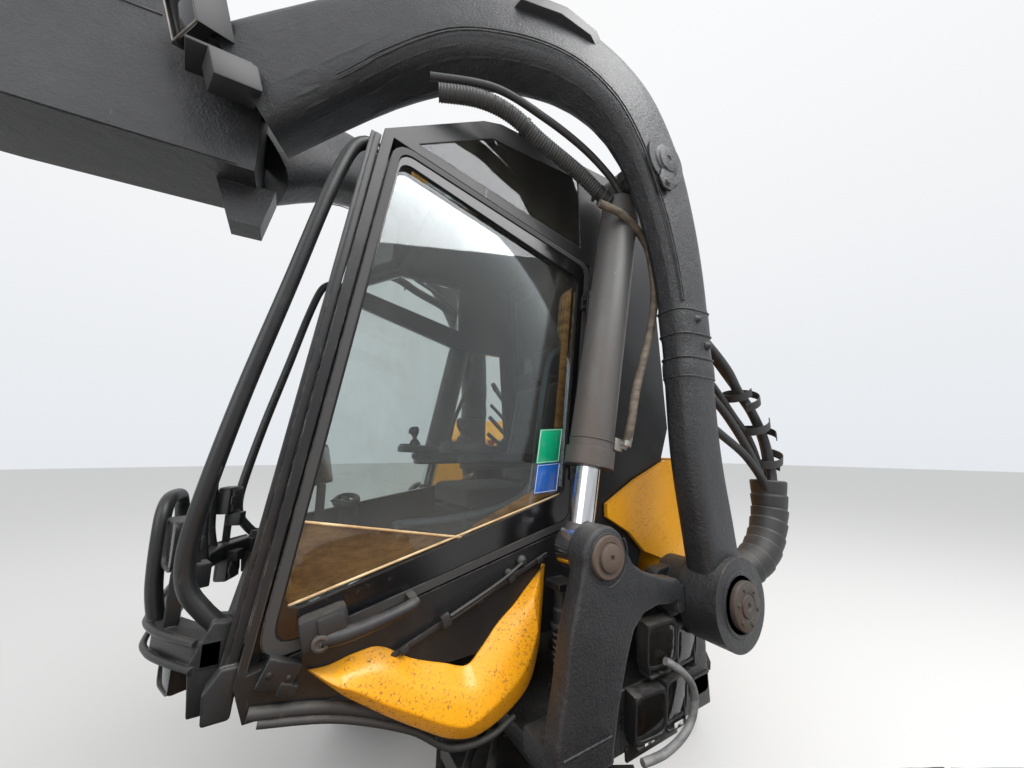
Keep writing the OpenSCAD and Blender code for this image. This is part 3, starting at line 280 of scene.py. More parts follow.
def grey_steel(name, base=(0.155, 0.150, 0.145), rust=0.6, rough=0.5, metal=0.55):
    """Weathered steel: brown with old rust where it was never rubbed, with pale scuffs."""
    p = Paint(name, base, rough, metal)
    p.soften(0.003)
    p.over(p.span(p.noise(6, 8, 0.7, stretch=(1, 1, 0.35)), 0.42, 0.70, 0, rust),
           (0.075, 0.042, 0.024), 0.75)
    p.over(p.span(p.noise(31, 8, 0.75, stretch=(1, 1, 0.5)), 0.58, 0.74, 0, rust * 0.8), RUST, 0.85)
    p.over(p.span(p.noise(23, 6, 0.7), 0.52, 0.76, 0, 0.35), DUST, 0.8)
    p.over(p.span(p.noise(90, 3, 0.6, stretch=(1, 1, 0.25)), 0.68, 0.76, 0, 0.4),
           tuple(min(1, c * 2.6) for c in base), 0.4)
    p.bump(p.noise(130, 4, 0.6), 0.0008, 0.6)
    return p.done()


def chrome(name):
    p = Paint(name, (0.62, 0.63, 0.65), 0.14, 1.0)
    p.over(p.span(p.noise(60, 4, 0.6, stretch=(1, 1, 0.05)), 0.5, 0.8, 0, 0.35),
           (0.42, 0.41, 0.40), 0.32)
    p.over(p.span(p.noise(40, 5, 0.7), 0.68, 0.74, 0, 0.6), (0.22, 0.17, 0.12), 0.7)
    return p.done()


def rubber(name):
    """Tyre rubber with dry mud in its grooves, and less of it on the lugs' tops."""
    p = Paint(name, (0.016, 0.016, 0.017), 0.78)
    p.over(p.span(p.noise(9, 9, 0.72, distortion=0.5), 0.44, 0.66, 0, 0.75), (0.075, 0.058, 0.044),
           0.92)
    p.over(p.span(p.noise(34, 8, 0.75), 0.50, 0.70, 0, 0.65), (0.12, 0.098, 0.076), 0.95)
    p.over(p.math("MULTIPLY", p.edges(0.012, 0.02, 0.3), p.span(p.noise(20, 4), 0.35, 0.6, 0, 0.7)),
           (0.035, 0.034, 0.034), 0.6)
    p.bump(p.noise(45, 6, 0.7), 0.005, 0.6)
    p.bump(p.noise(260, 2, 0.6), 0.0008, 0.6)
    return p.done(specular=0.3)


def black_plastic(name, base=(0.017, 0.017, 0.018), rough=0.5, dust=0.5):
    p = Paint(name, base, rough)
    p.over(p.math("MULTIPLY", p.upward(0.2, 0.9), p.span(p.noise(12, 7, 0.7), 0.35, 0.7, 0, dust)),
           DUST, 0.85)
    p.over(p.span(p.noise(30, 6, 0.75), 0.58, 0.75, 0, dust * 0.6), (0.10, 0.09, 0.08), 0.8)
    p.bump(p.noise(420, 2, 0.5), 0.0003, 0.6)
    return p.done()


def glass(name, tint, rough=0.02, dirt=0.25, dirt_colour=(0.30, 0.27, 0.22)):
    """Thin clear or tinted pane: it reflects at its face, lets light through, and is dirty."""
    p = Paint(name, dirt_colour, 0.85)
    film = p.math("MULTIPLY", p.span(p.noise(2.2, 5, 0.6, distortion=0.3), 0.30, 0.80, 0.35, 1),
                  p.span(p.noise(420, 3, 0.7), 0.46, 0.72))
    smear = p.span(p.noise(3.4, 7, 0.7, distortion=0.8, stretch=(1, 1, 0.6)), 0.42, 0.72,
                   0.02, 0.30)
    amount = p.math("MULTIPLY", p.math("ADD", film, smear), dirt)
    material = p.done(specular=0.2)
    tree = material.node_tree
    clear = tree.nodes.new("ShaderNodeBsdfTransparent")
    clear.inputs["Color"].default_value = (*tint, 1)
    mirror = tree.nodes.new("ShaderNodeBsdfGlossy")
    mirror.inputs["Roughness"].default_value = rough
    mirror.inputs["Color"].default_value = (0.95, 0.97, 1.0, 1)
    fresnel = tree.nodes.new("ShaderNodeFresnel")
    fresnel.inputs["IOR"].default_value = 1.5
    pane = tree.nodes.new("ShaderNodeMixShader")
    join = tree.nodes.new("ShaderNodeMixShader")
    for source, socket in ((fresnel.outputs[0], pane.inputs[0]), (clear.outputs[0], pane.inputs[1]),
                           (mirror.outputs[0], pane.inputs[2]), (amount, join.inputs[0]),
                           (pane.outputs[0], join.inputs[1]), (p.shader.outputs[0], join.inputs[2]),
                           (join.outputs[0], tree.nodes["Material Output"].inputs["Surface"])):
        tree.links.new(source, socket)
    return material


def woven(name, base=(0.030, 0.031, 0.034)):
    p = Paint(name, base, 0.85)
    weave = p.tree.nodes.new("ShaderNodeTexWave")
    weave.inputs["Scale"].default_value = 260
    weave.bands_direction = "DIAGONAL"
    p.link(p.place, weave.inputs["Vector"])
    p.over(p.span(weave.outputs["Fac"], 0.3, 0.8, 0, 0.5), tuple(c * 2.4 for c in base))
    p.over(p.span(p.noise(8, 6, 0.7), 0.45, 0.75, 0, 0.4), DUST)
    p.bump(weave.outputs["Fac"], 0.0008, 0.7)
    p.shader.inputs["Sheen Weight"].default_value = 0.25
    return p.done(specular=0.2)


def glow(name, colour, rough=0.2):
    p = Paint(name, colour, rough)
    p.over(p.span(p.noise(50, 5, 0.7), 0.5, 0.75, 0, 0.35), (0.25, 0.22, 0.18), 0.6)
    return p.done(coat=0.5)


def streaked(name, dark, light, rough=0.6):
    """Weathered surface with soft streaks of two tones."""
    p = Paint(name, dark, rough)
    p.over(p.span(p.noise(16, 8, 0.7, stretch=(0.6, 1, 1.6)), 0.35, 0.68), light)
    p.over(p.span(p.noise(70, 6, 0.8), 0.60, 0.72, 0, 0.7), tuple(c * 0.45 for c in dark))
    p.over(p.span(p.noise(130, 3, 0.7), 0.68, 0.74, 0, 0.6), tuple(min(1, c * 1.6) for c in light))
    p.bump(p.noise(90, 6, 0.7), 0.0006, 0.6)
    return p.done()


def lamp_cells(name):
    p = Paint(name, (0.86, 0.84, 0.74), 0.30, 0.35)
    p.over(p.span(p.noise(120, 4, 0.6), 0.4, 0.7, 0, 0.6), (0.40, 0.36, 0.25), 0.4)
    return p.done()


MAT = {
    "frame_paint": worn_black("frame_paint", dust=0.6),
    "arm_paint": worn_black("arm_paint", (0.0175, 0.0185, 0.0205), 0.36, cast=True, dust=0.5,
                            low_mud=False),
    "cab_paint": worn_black("cab_paint", (0.0095, 0.0100, 0.0110), 0.36, dust=0.45,
                            low_mud=False),
    "yellow_paint": worn_yellow("yellow_paint"),
    "cowl_plastic": worn_yellow("cowl_plastic", 0.95),
    "black_trim": black_plastic("black_trim"),
    "lamp_body": black_plastic("lamp_body", rough=0.42, dust=0.6),
    "steel": grey_steel("steel", (0.078, 0.077, 0.076), 0.42, 0.42, 0.25),
    "rod_chrome": chrome("rod_chrome"),
    "ring_steel": grey_steel("ring_steel", (0.06, 0.055, 0.05), 0.7, 0.6, 0.3),
    "tyre_rubber": rubber("tyre_rubber"),
    "glazing": glass("glazing", (0.84, 0.87, 0.86), dirt=0.15),
    "seat_fabric": woven("seat_fabric"),
    "rubber_trim": black_plastic("rubber_trim", (0.030, 0.030, 0.030), 0.6, 0.7),
    "black_gloss": black_plastic("black_gloss", (0.006, 0.006, 0.007), 0.12, 0.35),
    "brown_film": streaked("brown_film", (0.24, 0.115, 0.03), (0.52, 0.30, 0.10)),
    "dry_wood": streaked("dry_wood", (0.36, 0.22, 0.10), (0.60, 0.46, 0.26)),
    "sign_green": glow("sign_green", (0.0, 0.33, 0.16), 0.35),
    "sign_blue": glow("sign_blue", (0.01, 0.10, 0.42), 0.35),
    "sign_white": glow("sign_white", (0.80, 0.80, 0.78), 0.4),
    "lamp_cells": lamp_cells("lamp_cells"),
    "lamp_glass": glass("lamp_glass", (0.98, 0.98, 0.97), 0.03, 0.10),
    "hose_rubber": black_plastic("hose_rubber", (0.020, 0.020, 0.021), 0.55, 0.5),
    "red_knob": glow("red_knob", (0.42, 0.02, 0.015), 0.35),
    "grab_paint": worn_black("grab_paint", (0.10, 0.13, 0.15), 0.35, dust=0.2, low_mud=False),
    "grey_hose": streaked("grey_hose", (0.10, 0.10, 0.10), (0.22, 0.22, 0.215), 0.55),
    "old_hose": streaked("old_hose", (0.055, 0.045, 0.035), (0.16, 0.13, 0.095), 0.7),
    "fitting_steel": grey_steel("fitting_steel", (0.30, 0.29, 0.27), 0.7, 0.4, 0.8),
    "rusty_pin": grey_steel("rusty_pin", (0.10, 0.075, 0.06), 1.0, 0.65, 0.3),
    "spring_steel": grey_steel("spring_steel", (0.22, 0.22, 0.22), 0.5, 0.35, 0.8),
}

# CAD nodes take the material of their slot
for entry in frame["record"]["subparts"]:
    mesh = frame["nodes"][entry["node"]].data
    mesh.materials.clear()
    mesh.materials.append(MAT[entry["material_slot"]])
    mesh.shade_smooth()
    mesh.set_sharp_from_angle(angle=math.radians(28))

# Making pieces

HAND = {1: "left", -1: "right"}


def left_only(side, node):
    """What the left piece of a pair stands for: the CAD node that holds both."""
    return (node,) if side > 0 else ()


def ring_faces(rings, count, capped=False):
    """Faces between rings of count points each, and over both ends of a capped one."""
    faces = [(i * count + k, i * count + (k + 1) % count,
              (i + 1) * count + (k + 1) % count, (i + 1) * count + k)
             for i in range(rings - 1) for k in range(count)]
    if capped:
        faces.append(tuple(reversed(range(count))))
        faces.append(tuple((rings - 1) * count + k for k in range(count)))
    return faces


def squared(angle, power):
    """(cosine, sine) of a rounded square instead of a circle: the lower power, the squarer."""
    c, s = math.cos(angle), math.sin(angle)
    return math.copysign(abs(c) ** power, c), math.copysign(abs(s) ** power, s)


class Shape:
    """Collects faces for one joined piece."""

    def __init__(self):
        self.points = []
        self.faces = []

    def add(self, points, faces):
        first = len(self.points)
        self.points.extend(Vector(p) for p in points)
        self.faces.extend(tuple(first + i for i in face) for face in faces)
        return self

    def box(self, centre, size, turn=None, edge=2.0):
        """Box with chamfered edges. size and edge in millimetres, turn a rotation matrix."""
        bm = bmesh.new()
        bmesh.ops.create_cube(bm, size=1.0)
        bmesh.ops.scale(bm, vec=[s * MM for s in size], verts=bm.verts)
        if edge > 0:
            bmesh.ops.bevel(bm, geom=bm.edges[:], offset=min(edge, min(size) * 0.45) * MM,
                            segments=2, profile=0.6, affect="EDGES")
        self.from_bmesh(bm, Matrix.Translation(centre) @ (turn or Matrix()).to_4x4())
        return self

    def from_bmesh(self, bm, matrix):
        bm.verts.index_update()
        self.add([matrix @ v.co for v in bm.verts],
                 [[v.index for v in f.verts] for f in bm.faces])
        bm.free()

    def lathe(self, start, direction, profile, sides=32, hollow=False):
        """profile rows are (along, radius) in millimetres from start along direction.

        A hollow one closes from its last row back to its first, as a tyre does."""
        turn = Vector(direction).normalized().to_track_quat("Z", "Y").to_matrix().to_4x4()
        place = Matrix.Translation(start) @ turn
        points = [place @ Vector((r * MM * math.cos(math.tau * k / sides),
                                  r * MM * math.sin(math.tau * k / sides), a * MM))
                  for a, r in profile for k in range(sides)]
        faces = ring_faces(len(profile), sides, not hollow)
        if hollow:
            last = (len(profile) - 1) * sides
            faces += [(last + k, last + (k + 1) % sides, (k + 1) % sides, k)
                      for k in range(sides)]
        return self.add(points, faces)

    def bolt(self, place, out, size, washer=True):
        """Hexagon head of the given width across its corners, standing out of a face."""
        if washer:
            self.lathe(place, out, [(-1, size * 0.66), (2, size * 0.66), (3, size * 0.6)], 20)
        self.lathe(place, out, [(0, size * 0.5), (size * 0.30, size * 0.5),
                                (size * 0.36, size * 0.42)], 6)
        return self

    def tube(self, points, radius, sides=14, step=12.0, wave=None):
        """Round tube along a smooth path. wave(distance in mm) scales the radius."""
        path = smooth_path(points, step)
        rings = frames(path)
        travelled = 0.0
        made = []
        for i, (centre, across, up) in enumerate(rings):
            if i:
                travelled += (centre - rings[i - 1][0]).length / MM
            r = radius * (wave(travelled) if wave else 1.0) * MM
            made.extend(centre + (across * math.cos(math.tau * k / sides)
                                  + up * math.sin(math.tau * k / sides)) * r
                        for k in range(sides))
        return self.add(made, ring_faces(len(rings), sides, True))

    def plate(self, outline, thickness, out, edge=1.5):
        """Flat plate. outline is a loop of places, and it grows along out."""
        bm = bmesh.new()
        loop = [bm.verts.new(p) for p in outline]
        face = bm.faces.new(loop)
        grown = bmesh.ops.extrude_face_region(bm, geom=[face])
        shift = Vector(out).normalized() * thickness * MM
        bmesh.ops.translate(bm, vec=shift,
                            verts=[g for g in grown["geom"] if isinstance(g, bmesh.types.BMVert)])
        bmesh.ops.recalc_face_normals(bm, faces=bm.faces)
        if edge > 0:
            bmesh.ops.bevel(bm, geom=bm.edges[:], offset=edge * MM, segments=2, profile=0.6,
                            affect="EDGES")
        self.from_bmesh(bm, Matrix())
        return self

    def made(self, name, body, slot, angle=35, replaces=(), levels=0, bend=None):
        """Makes the piece, riding on body unless bend is given. levels is how often it is
        subdivided.

        bend is (body, next body, start, end), given for a hose that goes over from one to the
        other. When bend is given, the piece is attached to no body and keeps its place baked into
        its mesh; what bend holds is not used."""
        mesh = bpy.data.meshes.new(name)
        mesh.from_pydata([tuple(p) for p in self.points], [], self.faces)
        mesh.validate()
        bm = bmesh.new()
        bm.from_mesh(mesh)
        bmesh.ops.recalc_face_normals(bm, faces=bm.faces)
        bm.to_mesh(mesh)
        bm.free()
        mesh.materials.append(MAT[slot])
        mesh.shade_smooth()
        mesh.set_sharp_from_angle(angle=math.radians(angle))
        obj = bpy.data.objects.new(name, mesh)
        bpy.context.collection.objects.link(obj)
        if levels:
            obj.modifiers.new("Smooth", "SUBSURF").levels = levels
            obj.modifiers["Smooth"].render_levels = levels
        if bend:
            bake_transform(obj)
        else:
            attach(obj, body)
        if replaces:
            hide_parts(*replaces)
        return obj


def smooth_path(points, step):
    """Catmull-Rom curve through the places, resampled at about step millimetres."""
    if len(points) == 2:
        dense = [points[0].lerp(points[1], i / 8) for i in range(9)]
    else:
        dense = []
        last = len(points) - 1
        for i in range(last):
            a, b = points[max(i - 1, 0)], points[i]
            c, d = points[i + 1], points[min(i + 2, last)]
            for k in range(16):
                t = k / 16
                dense.append(0.5 * (2 * b + (c - a) * t + (2 * a - 5 * b + 4 * c - d) * t * t
                                    + (3 * b - a - 3 * c + d) * t ** 3))
        dense.append(points[last].copy())
    lengths = [0.0]
    for p, q in zip(dense, dense[1:]):
        lengths.append(lengths[-1] + (q - p).length)
    count = max(2, round(lengths[-1] / (step * MM)))
    path = []
    j = 0
    for i in range(count + 1):
        want = lengths[-1] * i / count
        while j < len(dense) - 2 and lengths[j + 1] < want:
            j += 1
        part = (want - lengths[j]) / max(lengths[j + 1] - lengths[j], 1e-9)
        path.append(dense[j].lerp(dense[j + 1], part))
    return path


def frames(path):
    """(centre, across, up) of each ring, turned as little as possible from one to the next."""
    rings = []
    across = None
    for i, p in enumerate(path):
        along = (path[min(i + 1, len(path) - 1)] - path[max(i - 1, 0)]).normalized()
        if across is None:
            across = along.orthogonal().normalized()
        across = (across - along * across.dot(along)).normalized()
        rings.append((p, across, along.cross(across)))
    return rings


def catmull(rows, t):
    """Columns at row position t on a smooth curve through the rows."""
    last = len(rows) - 1
    i = min(int(t), last - 1)
    u = t - i
    four = [rows[max(i - 1, 0)], rows[i], rows[i + 1], rows[min(i + 2, last)]]
    return [0.5 * (2 * b + (c - a) * u + (2 * a - 5 * b + 4 * c - d) * u * u
                   + (3 * b - a - 3 * c + d) * u ** 3) for a, b, c, d in zip(*four)]


def plane_loop(points, y):
    """Places on a plane beside the machine, from [x, z] rows."""
    return [at(x, y, z) for x, z in points]


def route(rows, side=1):
    """Places from [x, y, z] rows of the left side, turned over for side -1."""
    return [at(x, y * side, z) for x, y, z in rows]


# Yoke arms. Rows of the left arm: x, y, z, half width, half depth in the bend.
ARM_ROWS = [(-230, 975, 1530, 60, 100), (-200, 975, 1760, 60, 100), (-165, 975, 2050, 60, 98),
            (-165, 975, 2450, 60, 98), (-150, 975, 2750, 60, 110), (-100, 975, 3010, 60, 130),
            (-15, 973, 3235, 64, 148), (115, 945, 3430, 80, 160), (290, 865, 3590, 98, 165),
            (500, 735, 3700, 114, 170), (730, 570, 3755, 130, 176), (960, 405, 3725, 140, 186),
            (1180, 275, 3620, 148, 200), (1400, 175, 3470, 150, 216)]
ARM_CORNER = 0.55
# Steps on the arm where its two castings are welded: row position, growth in millimetres
COLLARS = [(2.66, 2.84, 5.0), (3.10, 3.40, 3.0)]


def arm_frame(t, side):
    """(centre, across the bend, outwards, half width, half depth) at row position t."""
    x, y, z, wide, deep = catmull(ARM_ROWS, t)
    step = 0.02
    before = catmull(ARM_ROWS, max(t - step, 0))
    after = catmull(ARM_ROWS, min(t + step, len(ARM_ROWS) - 1))
    along = (at(*after[:3]) - at(*before[:3])).normalized()
    across = Vector((0, 1, 0)).cross(along).normalized()
    out = along.cross(across)
    centre = at(x, y, z)
    if side < 0:
        centre.y = 2 * SLEW.y - centre.y
        across.y, out.y = -across.y, -out.y
    return centre, across, out, wide, deep


def arm_ring(t, side, around, grow, phase=0.0):
    """Places round the arm at row position t, grow millimetres proud of it."""
    centre, across, out, wide, deep = arm_frame(t, side)
    ring = []
    for k in range(around):
        c, s = squared(math.tau * (k + phase) / around, ARM_CORNER)
        ring.append(centre + (across * c * (deep + grow) + out * s * (wide + grow)) * MM)
    return ring


def yoke(side, rings=150, around=56):
    """One cast arm of the yoke."""
    points = []
    last = len(ARM_ROWS) - 1
    for i in range(rings + 1):
        t = last * i / rings
        points += arm_ring(t, side, around, sum(g for a, b, g in COLLARS if a < t < b), 0.5)
    faces = ring_faces(rings + 1, around)
    if side > 0:
        faces = [tuple(reversed(f)) for f in faces]
    Shape().add(points, faces).made(HAND[side] + "_yoke_arm", "boom", "arm_paint", 40)


def arm_spot(t, u, lift=0.0, side=1):
    """A place on the arm's outer face: t along its rows, u from -1 (front) to 1 (rear)."""
    centre, across, out, wide, deep = arm_frame(t, side)
    return centre - across * (u * deep * MM) + out * ((wide + lift) * MM), out


def turned(points, side):
    """Mirrors places to the right side for side -1."""
    return [Vector((p.x, SLEW.y + (p.y - SLEW.y) * side, p.z)) for p in points]


def inward(outline, amount):
    """The [x, z] outline moved inwards by amount; the outline runs anticlockwise."""
    moved = []
    count = len(outline)
    for i in range(count):
        a, b, c = (Vector(outline[(i + k) % count]) for k in (-1, 0, 1))
        d, e = (b - a).normalized(), (c - b).normalized()
        n, m = Vector((-d.y, d.x)), Vector((-e.y, e.x))
        bisector = (n + m).normalized()
        moved.append(tuple(b + bisector * (amount / max(bisector.dot(n), 0.3))))
    return moved


def rounded(outline, radius, steps=5):
    """The [x, z] outline with its corners rounded."""
    loop = []
    count = len(outline)
    for i in range(count):
        a, b, c = (Vector(outline[(i + k) % count]) for k in (-1, 0, 1))
        d, e = (a - b).normalized(), (c - b).normalized()
        half = math.acos(max(-1, min(1, d.dot(e)))) / 2
        reach = min(radius / math.tan(half), (a - b).length / 2.2, (c - b).length / 2.2)
        p, q = b + d * reach, b + e * reach
        for k in range(steps + 1):
            t = k / steps
            loop.append(tuple(p * (1 - t) ** 2 + b * (2 * t * (1 - t)) + q * t ** 2))
    return loop


def band_between(shape, outer, inner, y0, y1, side=1):
    """Flat ring between two outlines with as many points each, from y0 to y1."""
    count = len(outer)
    points = []
    for y in (y0, y1):
        points += turned(plane_loop(outer, y), side) + turned(plane_loop(inner, y), side)
    faces = []
    for i in range(count):
        j = (i + 1) % count
        o0, o1, n0, n1 = i, j, count + i, count + j
        lift = 2 * count
        faces += [(o0, n0, n1, o1), (o0 + lift, o1 + lift, n1 + lift, n0 + lift),
                  (o0, o1, o1 + lift, o0 + lift), (n0, n0 + lift, n1 + lift, n1)]
    if side < 0:
        faces = [tuple(reversed(f)) for f in faces]
    shape.add(points, faces)


# Work lamps


def lamp(name, body, place, turn, w=112, h=118, replaces=()):
    """A work lamp looking along its own +X: housing with fins, bezel, glass and eight cells."""
    to = Matrix.Translation(place) @ turn.to_4x4()

    def p(x, y, z):
        return to @ Vector((x * MM, y * MM, z * MM))

    housing = Shape()
    housing.box(p(-14, 0, 0), (50, w - 2, h - 2), turn, 7)
    for i in range(7):
        housing.box(p(-40, (i - 3) * w * 0.11, 0), (20, 4, h * 0.8), turn, 1)
    housing.box(p(-44, 0, 0), (8, w * 0.86, h * 0.30), turn, 2)
    bezel = [squared(math.tau * (k + 0.5) / 48, 0.35) for k in range(48)]
    rims = ((6, 0.5), (14, 0.5), (14, 0.44), (5, 0.42))
    housing.add([p(x, c * w * scale, s * h * scale) for x, scale in rims for c, s in bezel],
                ring_faces(len(rims), len(bezel)))
    housing.box(p(8, 0, 0), (6, w * 0.80, 5), turn, 1)
    housing.made(name, body, "lamp_body", 30, replaces)
    cells = Shape()
    cells.box(p(2, 0, 0), (4, w * 0.82, h * 0.82), turn, 0)
    for row in (-1, 1):
        for i in range(4):
            centre = p(4.5, (i - 1.5) * w * 0.195, row * h * 0.205)
            cells.lathe(centre, turn @ Vector((1, 0, 0)),
                        [(0, 3), (0.5, 5), (1.0, 8), (4.2, w * 0.086), (4.2, w * 0.095)], 16)
    cells.made(name + "_cells", body, "lamp_cells", 40)
    lens = Shape()
    lens.box(p(10.5, 0, 0), (2, w * 0.83, h * 0.83), turn, 0.5)
    lens.made(name + "_glass", body, "lamp_glass", 40)


def facing(yaw, pitch=0.0):
    """Turns +X by yaw about Z and raises it by pitch, in degrees."""
    return (Matrix.Rotation(math.radians(yaw), 3, "Z")
            @ Matrix.Rotation(-math.radians(pitch), 3, "Y"))


# Hoses


def hose(name, body, rows, radius, slot="hose_rubber", wave=None, around=14, step=10, side=1,
         bend=None):
    """Hose along a route given on the left side, and turned over for the right."""
    piped(name, body, route(rows, side), radius, around, step, slot, wave, bend)


def piped(name, body, places, radius, around, step, slot="hose_rubber", wave=None, bend=None):
    """Hose through places."""
    shape = Shape()
    shape.tube(places, radius, around, step, wave)
    shape.made(name, body, slot, 60, bend=bend)


def ribbed(pitch, depth):
    """Radius wave of a corrugated sleeve."""
    return lambda d: 1 + depth * (0.5 + 0.5 * math.cos(math.tau * d / pitch))


def clamp(shape, place, along, radius, width=16):
    """Band clamp with its screw round a hose."""
    shape.lathe(place - along.normalized() * width / 2 * MM, along,
                [(0, radius), (0, radius + 2.5), (width, radius + 2.5), (width, radius)], 28)
    out = along.orthogonal().normalized()
    shape.box(place + out * (radius + 6) * MM, (10, 10, 14), None, 1)


# Outlines of the left door, [x, z], anticlockwise seen from the left
DOOR_EDGE = [(1176, 1545), (930, 3078), (70, 2850), (203, 1778)]
DOOR_WINDOW = [(1128, 1650), (905, 3010), (135, 2775), (245, 1890)]
CAB_Y = 700


def door():
    """Frame with hinges, printed border, rubber seal, tinted corner and signs on the left door."""
    shell = Shape()
    band_between(shell, rounded(inward(DOOR_EDGE, 1), 60), rounded(DOOR_WINDOW, 40),
                 CAB_Y - 44, CAB_Y - 1)
    low, high = at(200, CAB_Y + 18, 1778), at(67, CAB_Y + 18, 2850)
    run = (high - low).normalized()
    across = run.cross(Vector((0, 1, 0)))
    for s in (190, 890):
        place = low + run * s * MM
        shell.lathe(place - run * 33 * MM, run, [(0, 12), (2, 14), (64, 14), (66, 12)], 20)
        leaf = [place + run * a * MM - across * b * MM - Vector((0, 14 * MM, 0))
                for a, b in ((-33, 0), (33, 0), (33, 40), (-33, 40))]
        shell.plate(leaf, 7, (0, 1, 0), 1.5)
        for a in (-17, 17):
            shell.bolt(place + run * a * MM - across * 26 * MM - Vector((0, 7 * MM, 0)),
                       (0, 1, 0), 13, False)
    shell.made("door_frame", "door_leaf", "cab_paint", 35, ("door",))
    seal_out = rounded(inward(DOOR_EDGE, 4), 60)
    seal_in = rounded(inward(DOOR_EDGE, 26), 45)
    seal = Shape()
    band_between(seal, seal_out, seal_in, CAB_Y - 4, CAB_Y + 7)
    seal.made("door_seal", "door_leaf", "rubber_trim", 30)
    border = Shape()
    band_between(border, rounded(inward(DOOR_EDGE, 30), 45), rounded(DOOR_WINDOW, 40),
                 CAB_Y - 6, CAB_Y + 2.5)
    border.made("door_border", "door_leaf", "black_gloss", 30)
    lower = Shape()
    lower.plate(plane_loop([(1106, 1866), (1122, 1668), (640, 1780), (600, 1768)], CAB_Y - 22),
                3, (0, -1, 0), 0.5)
    lower.plate(plane_loop([(632, 1779), (258, 1898), (156, 2740), (190, 2700), (292, 1935),
                            (600, 1812)], CAB_Y - 22), 3, (0, -1, 0), 0.5)
    lower.made("door_tinted_corner", "door_leaf", "brown_film", 30)
    rim = Shape()
    for a, b in (((1106, 1868), (622, 1772)), ((1122, 1666), (250, 1888))):
        rim.tube([at(a[0], CAB_Y - 14, a[1]), at(b[0], CAB_Y - 14, b[1])], 4, 8, 60)
    rim.made("door_film_rim", "door_leaf", "dry_wood", 60)
    for name, slot, z0, z1 in (("sign_upper", "sign_green", 2005, 2132),
                               ("sign_lower", "sign_blue", 1898, 2003)):
        plate = Shape()
        slope = (135 - 245) / (2775 - 1890)
        corners = []
        for dx, z in ((22, z0), (128, z0 - 6), (122, z1 - 6), (16, z1)):
            corners.append((245 + slope * (z - 1890) + dx, z))
        plate.plate(plane_loop(corners, CAB_Y - 15.5), 1.2, (0, 1, 0), 0.3)
        plate.made("door_" + name, "door_leaf", slot, 30)
        edge = Shape()
        loop = plane_loop(inward([corners[i] for i in (2, 3, 0, 1)], 4), CAB_Y - 14)
        for a, b in zip(loop, loop[1:] + loop[:1]):
            edge.tube([a, b], 0.8, 6, 40)
        edge.made("door_" + name + "_line", "door_leaf", "sign_white", 60)


def door_handle():
    """Moulded handle: a lock housing at the front and a round grip that runs back."""
    body = Shape()
    tilt = facing(0, -12)
    body.box(at(1030, 728, 1622), (110, 56, 74), tilt, 14)
    body.box(at(1016, 758, 1634), (64, 18, 44), tilt, 8)
    body.tube([at(1035, 748, 1600), at(990, 757, 1602), at(930, 760, 1612), at(870, 760, 1625),
               at(826, 757, 1635), at(806, 748, 1640)], 18, 20, 6,
              lambda d: 1.12 - 0.001 * d)
    body.box(at(812, 724, 1640), (26, 54, 34), tilt, 9)
    body.tube([at(985, 744, 1588), at(960, 752, 1590), at(930, 744, 1602)], 8, 10, 6)
    body.made("door_handle_grip", "door_leaf", "black_trim", 50)
    lock = Shape()
    lock.lathe(at(1038, 756, 1598), (0.1, 1, -0.15),
               [(0, 20), (10, 20), (12, 17), (12, 12), (9, 11)], 28)
    lock.box(at(1039, 767, 1596), (3, 3, 10), None, 0.4)
    lock.made("door_lock", "door_leaf", "steel", 40)
    catch = Shape()
    catch.box(at(1117, 716, 1534), (76, 30, 62), facing(0, 24), 4)
    catch.box(at(1098, 722, 1500), (40, 22, 26), facing(0, 24), 3)
    for dx in (-20, 20):
        catch.bolt(at(1117 + dx, 731, 1534 + dx * 0.4), (0, 1, 0), 12, False)
    catch.made("door_catch", "upper", "cab_paint", 40)


def wiper():
    """Twin-rod wiper parked along the foot of the window."""
    arm = Shape()
    arm.lathe(at(440, 706, 1684), (0, 1, 0), [(0, 18), (10, 18), (13, 14), (20, 9), (24, 8)], 24)
    arm.lathe(at(490, 706, 1652), (0, 1, 0), [(0, 14), (8, 14), (16, 7), (20, 7)], 20)
    arm.tube([at(440, 724, 1684), at(540, 736, 1640), at(700, 738, 1578)], 5.5, 10, 30)
    arm.tube([at(490, 720, 1652), at(580, 730, 1610), at(720, 730, 1556)], 4.5, 10, 30)
    arm.box(at(712, 734, 1568), (26, 16, 34), facing(0, -20), 3)
    arm.made("wiper_arm", "door_leaf", "black_trim", 50)
    blade = Shape()
    blade.box(at(600, 716, 1598), (560, 9, 14), facing(0, -20), 3)
    for i in range(5):
        off = (i - 2) * 120
        blade.box(at(600 + off * math.cos(0.35), 722, 1598 - off * math.sin(0.35)),
                  (24, 14, 18), facing(0, -20), 3)
    blade.made("wiper_blade", "door_leaf", "black_trim", 50)


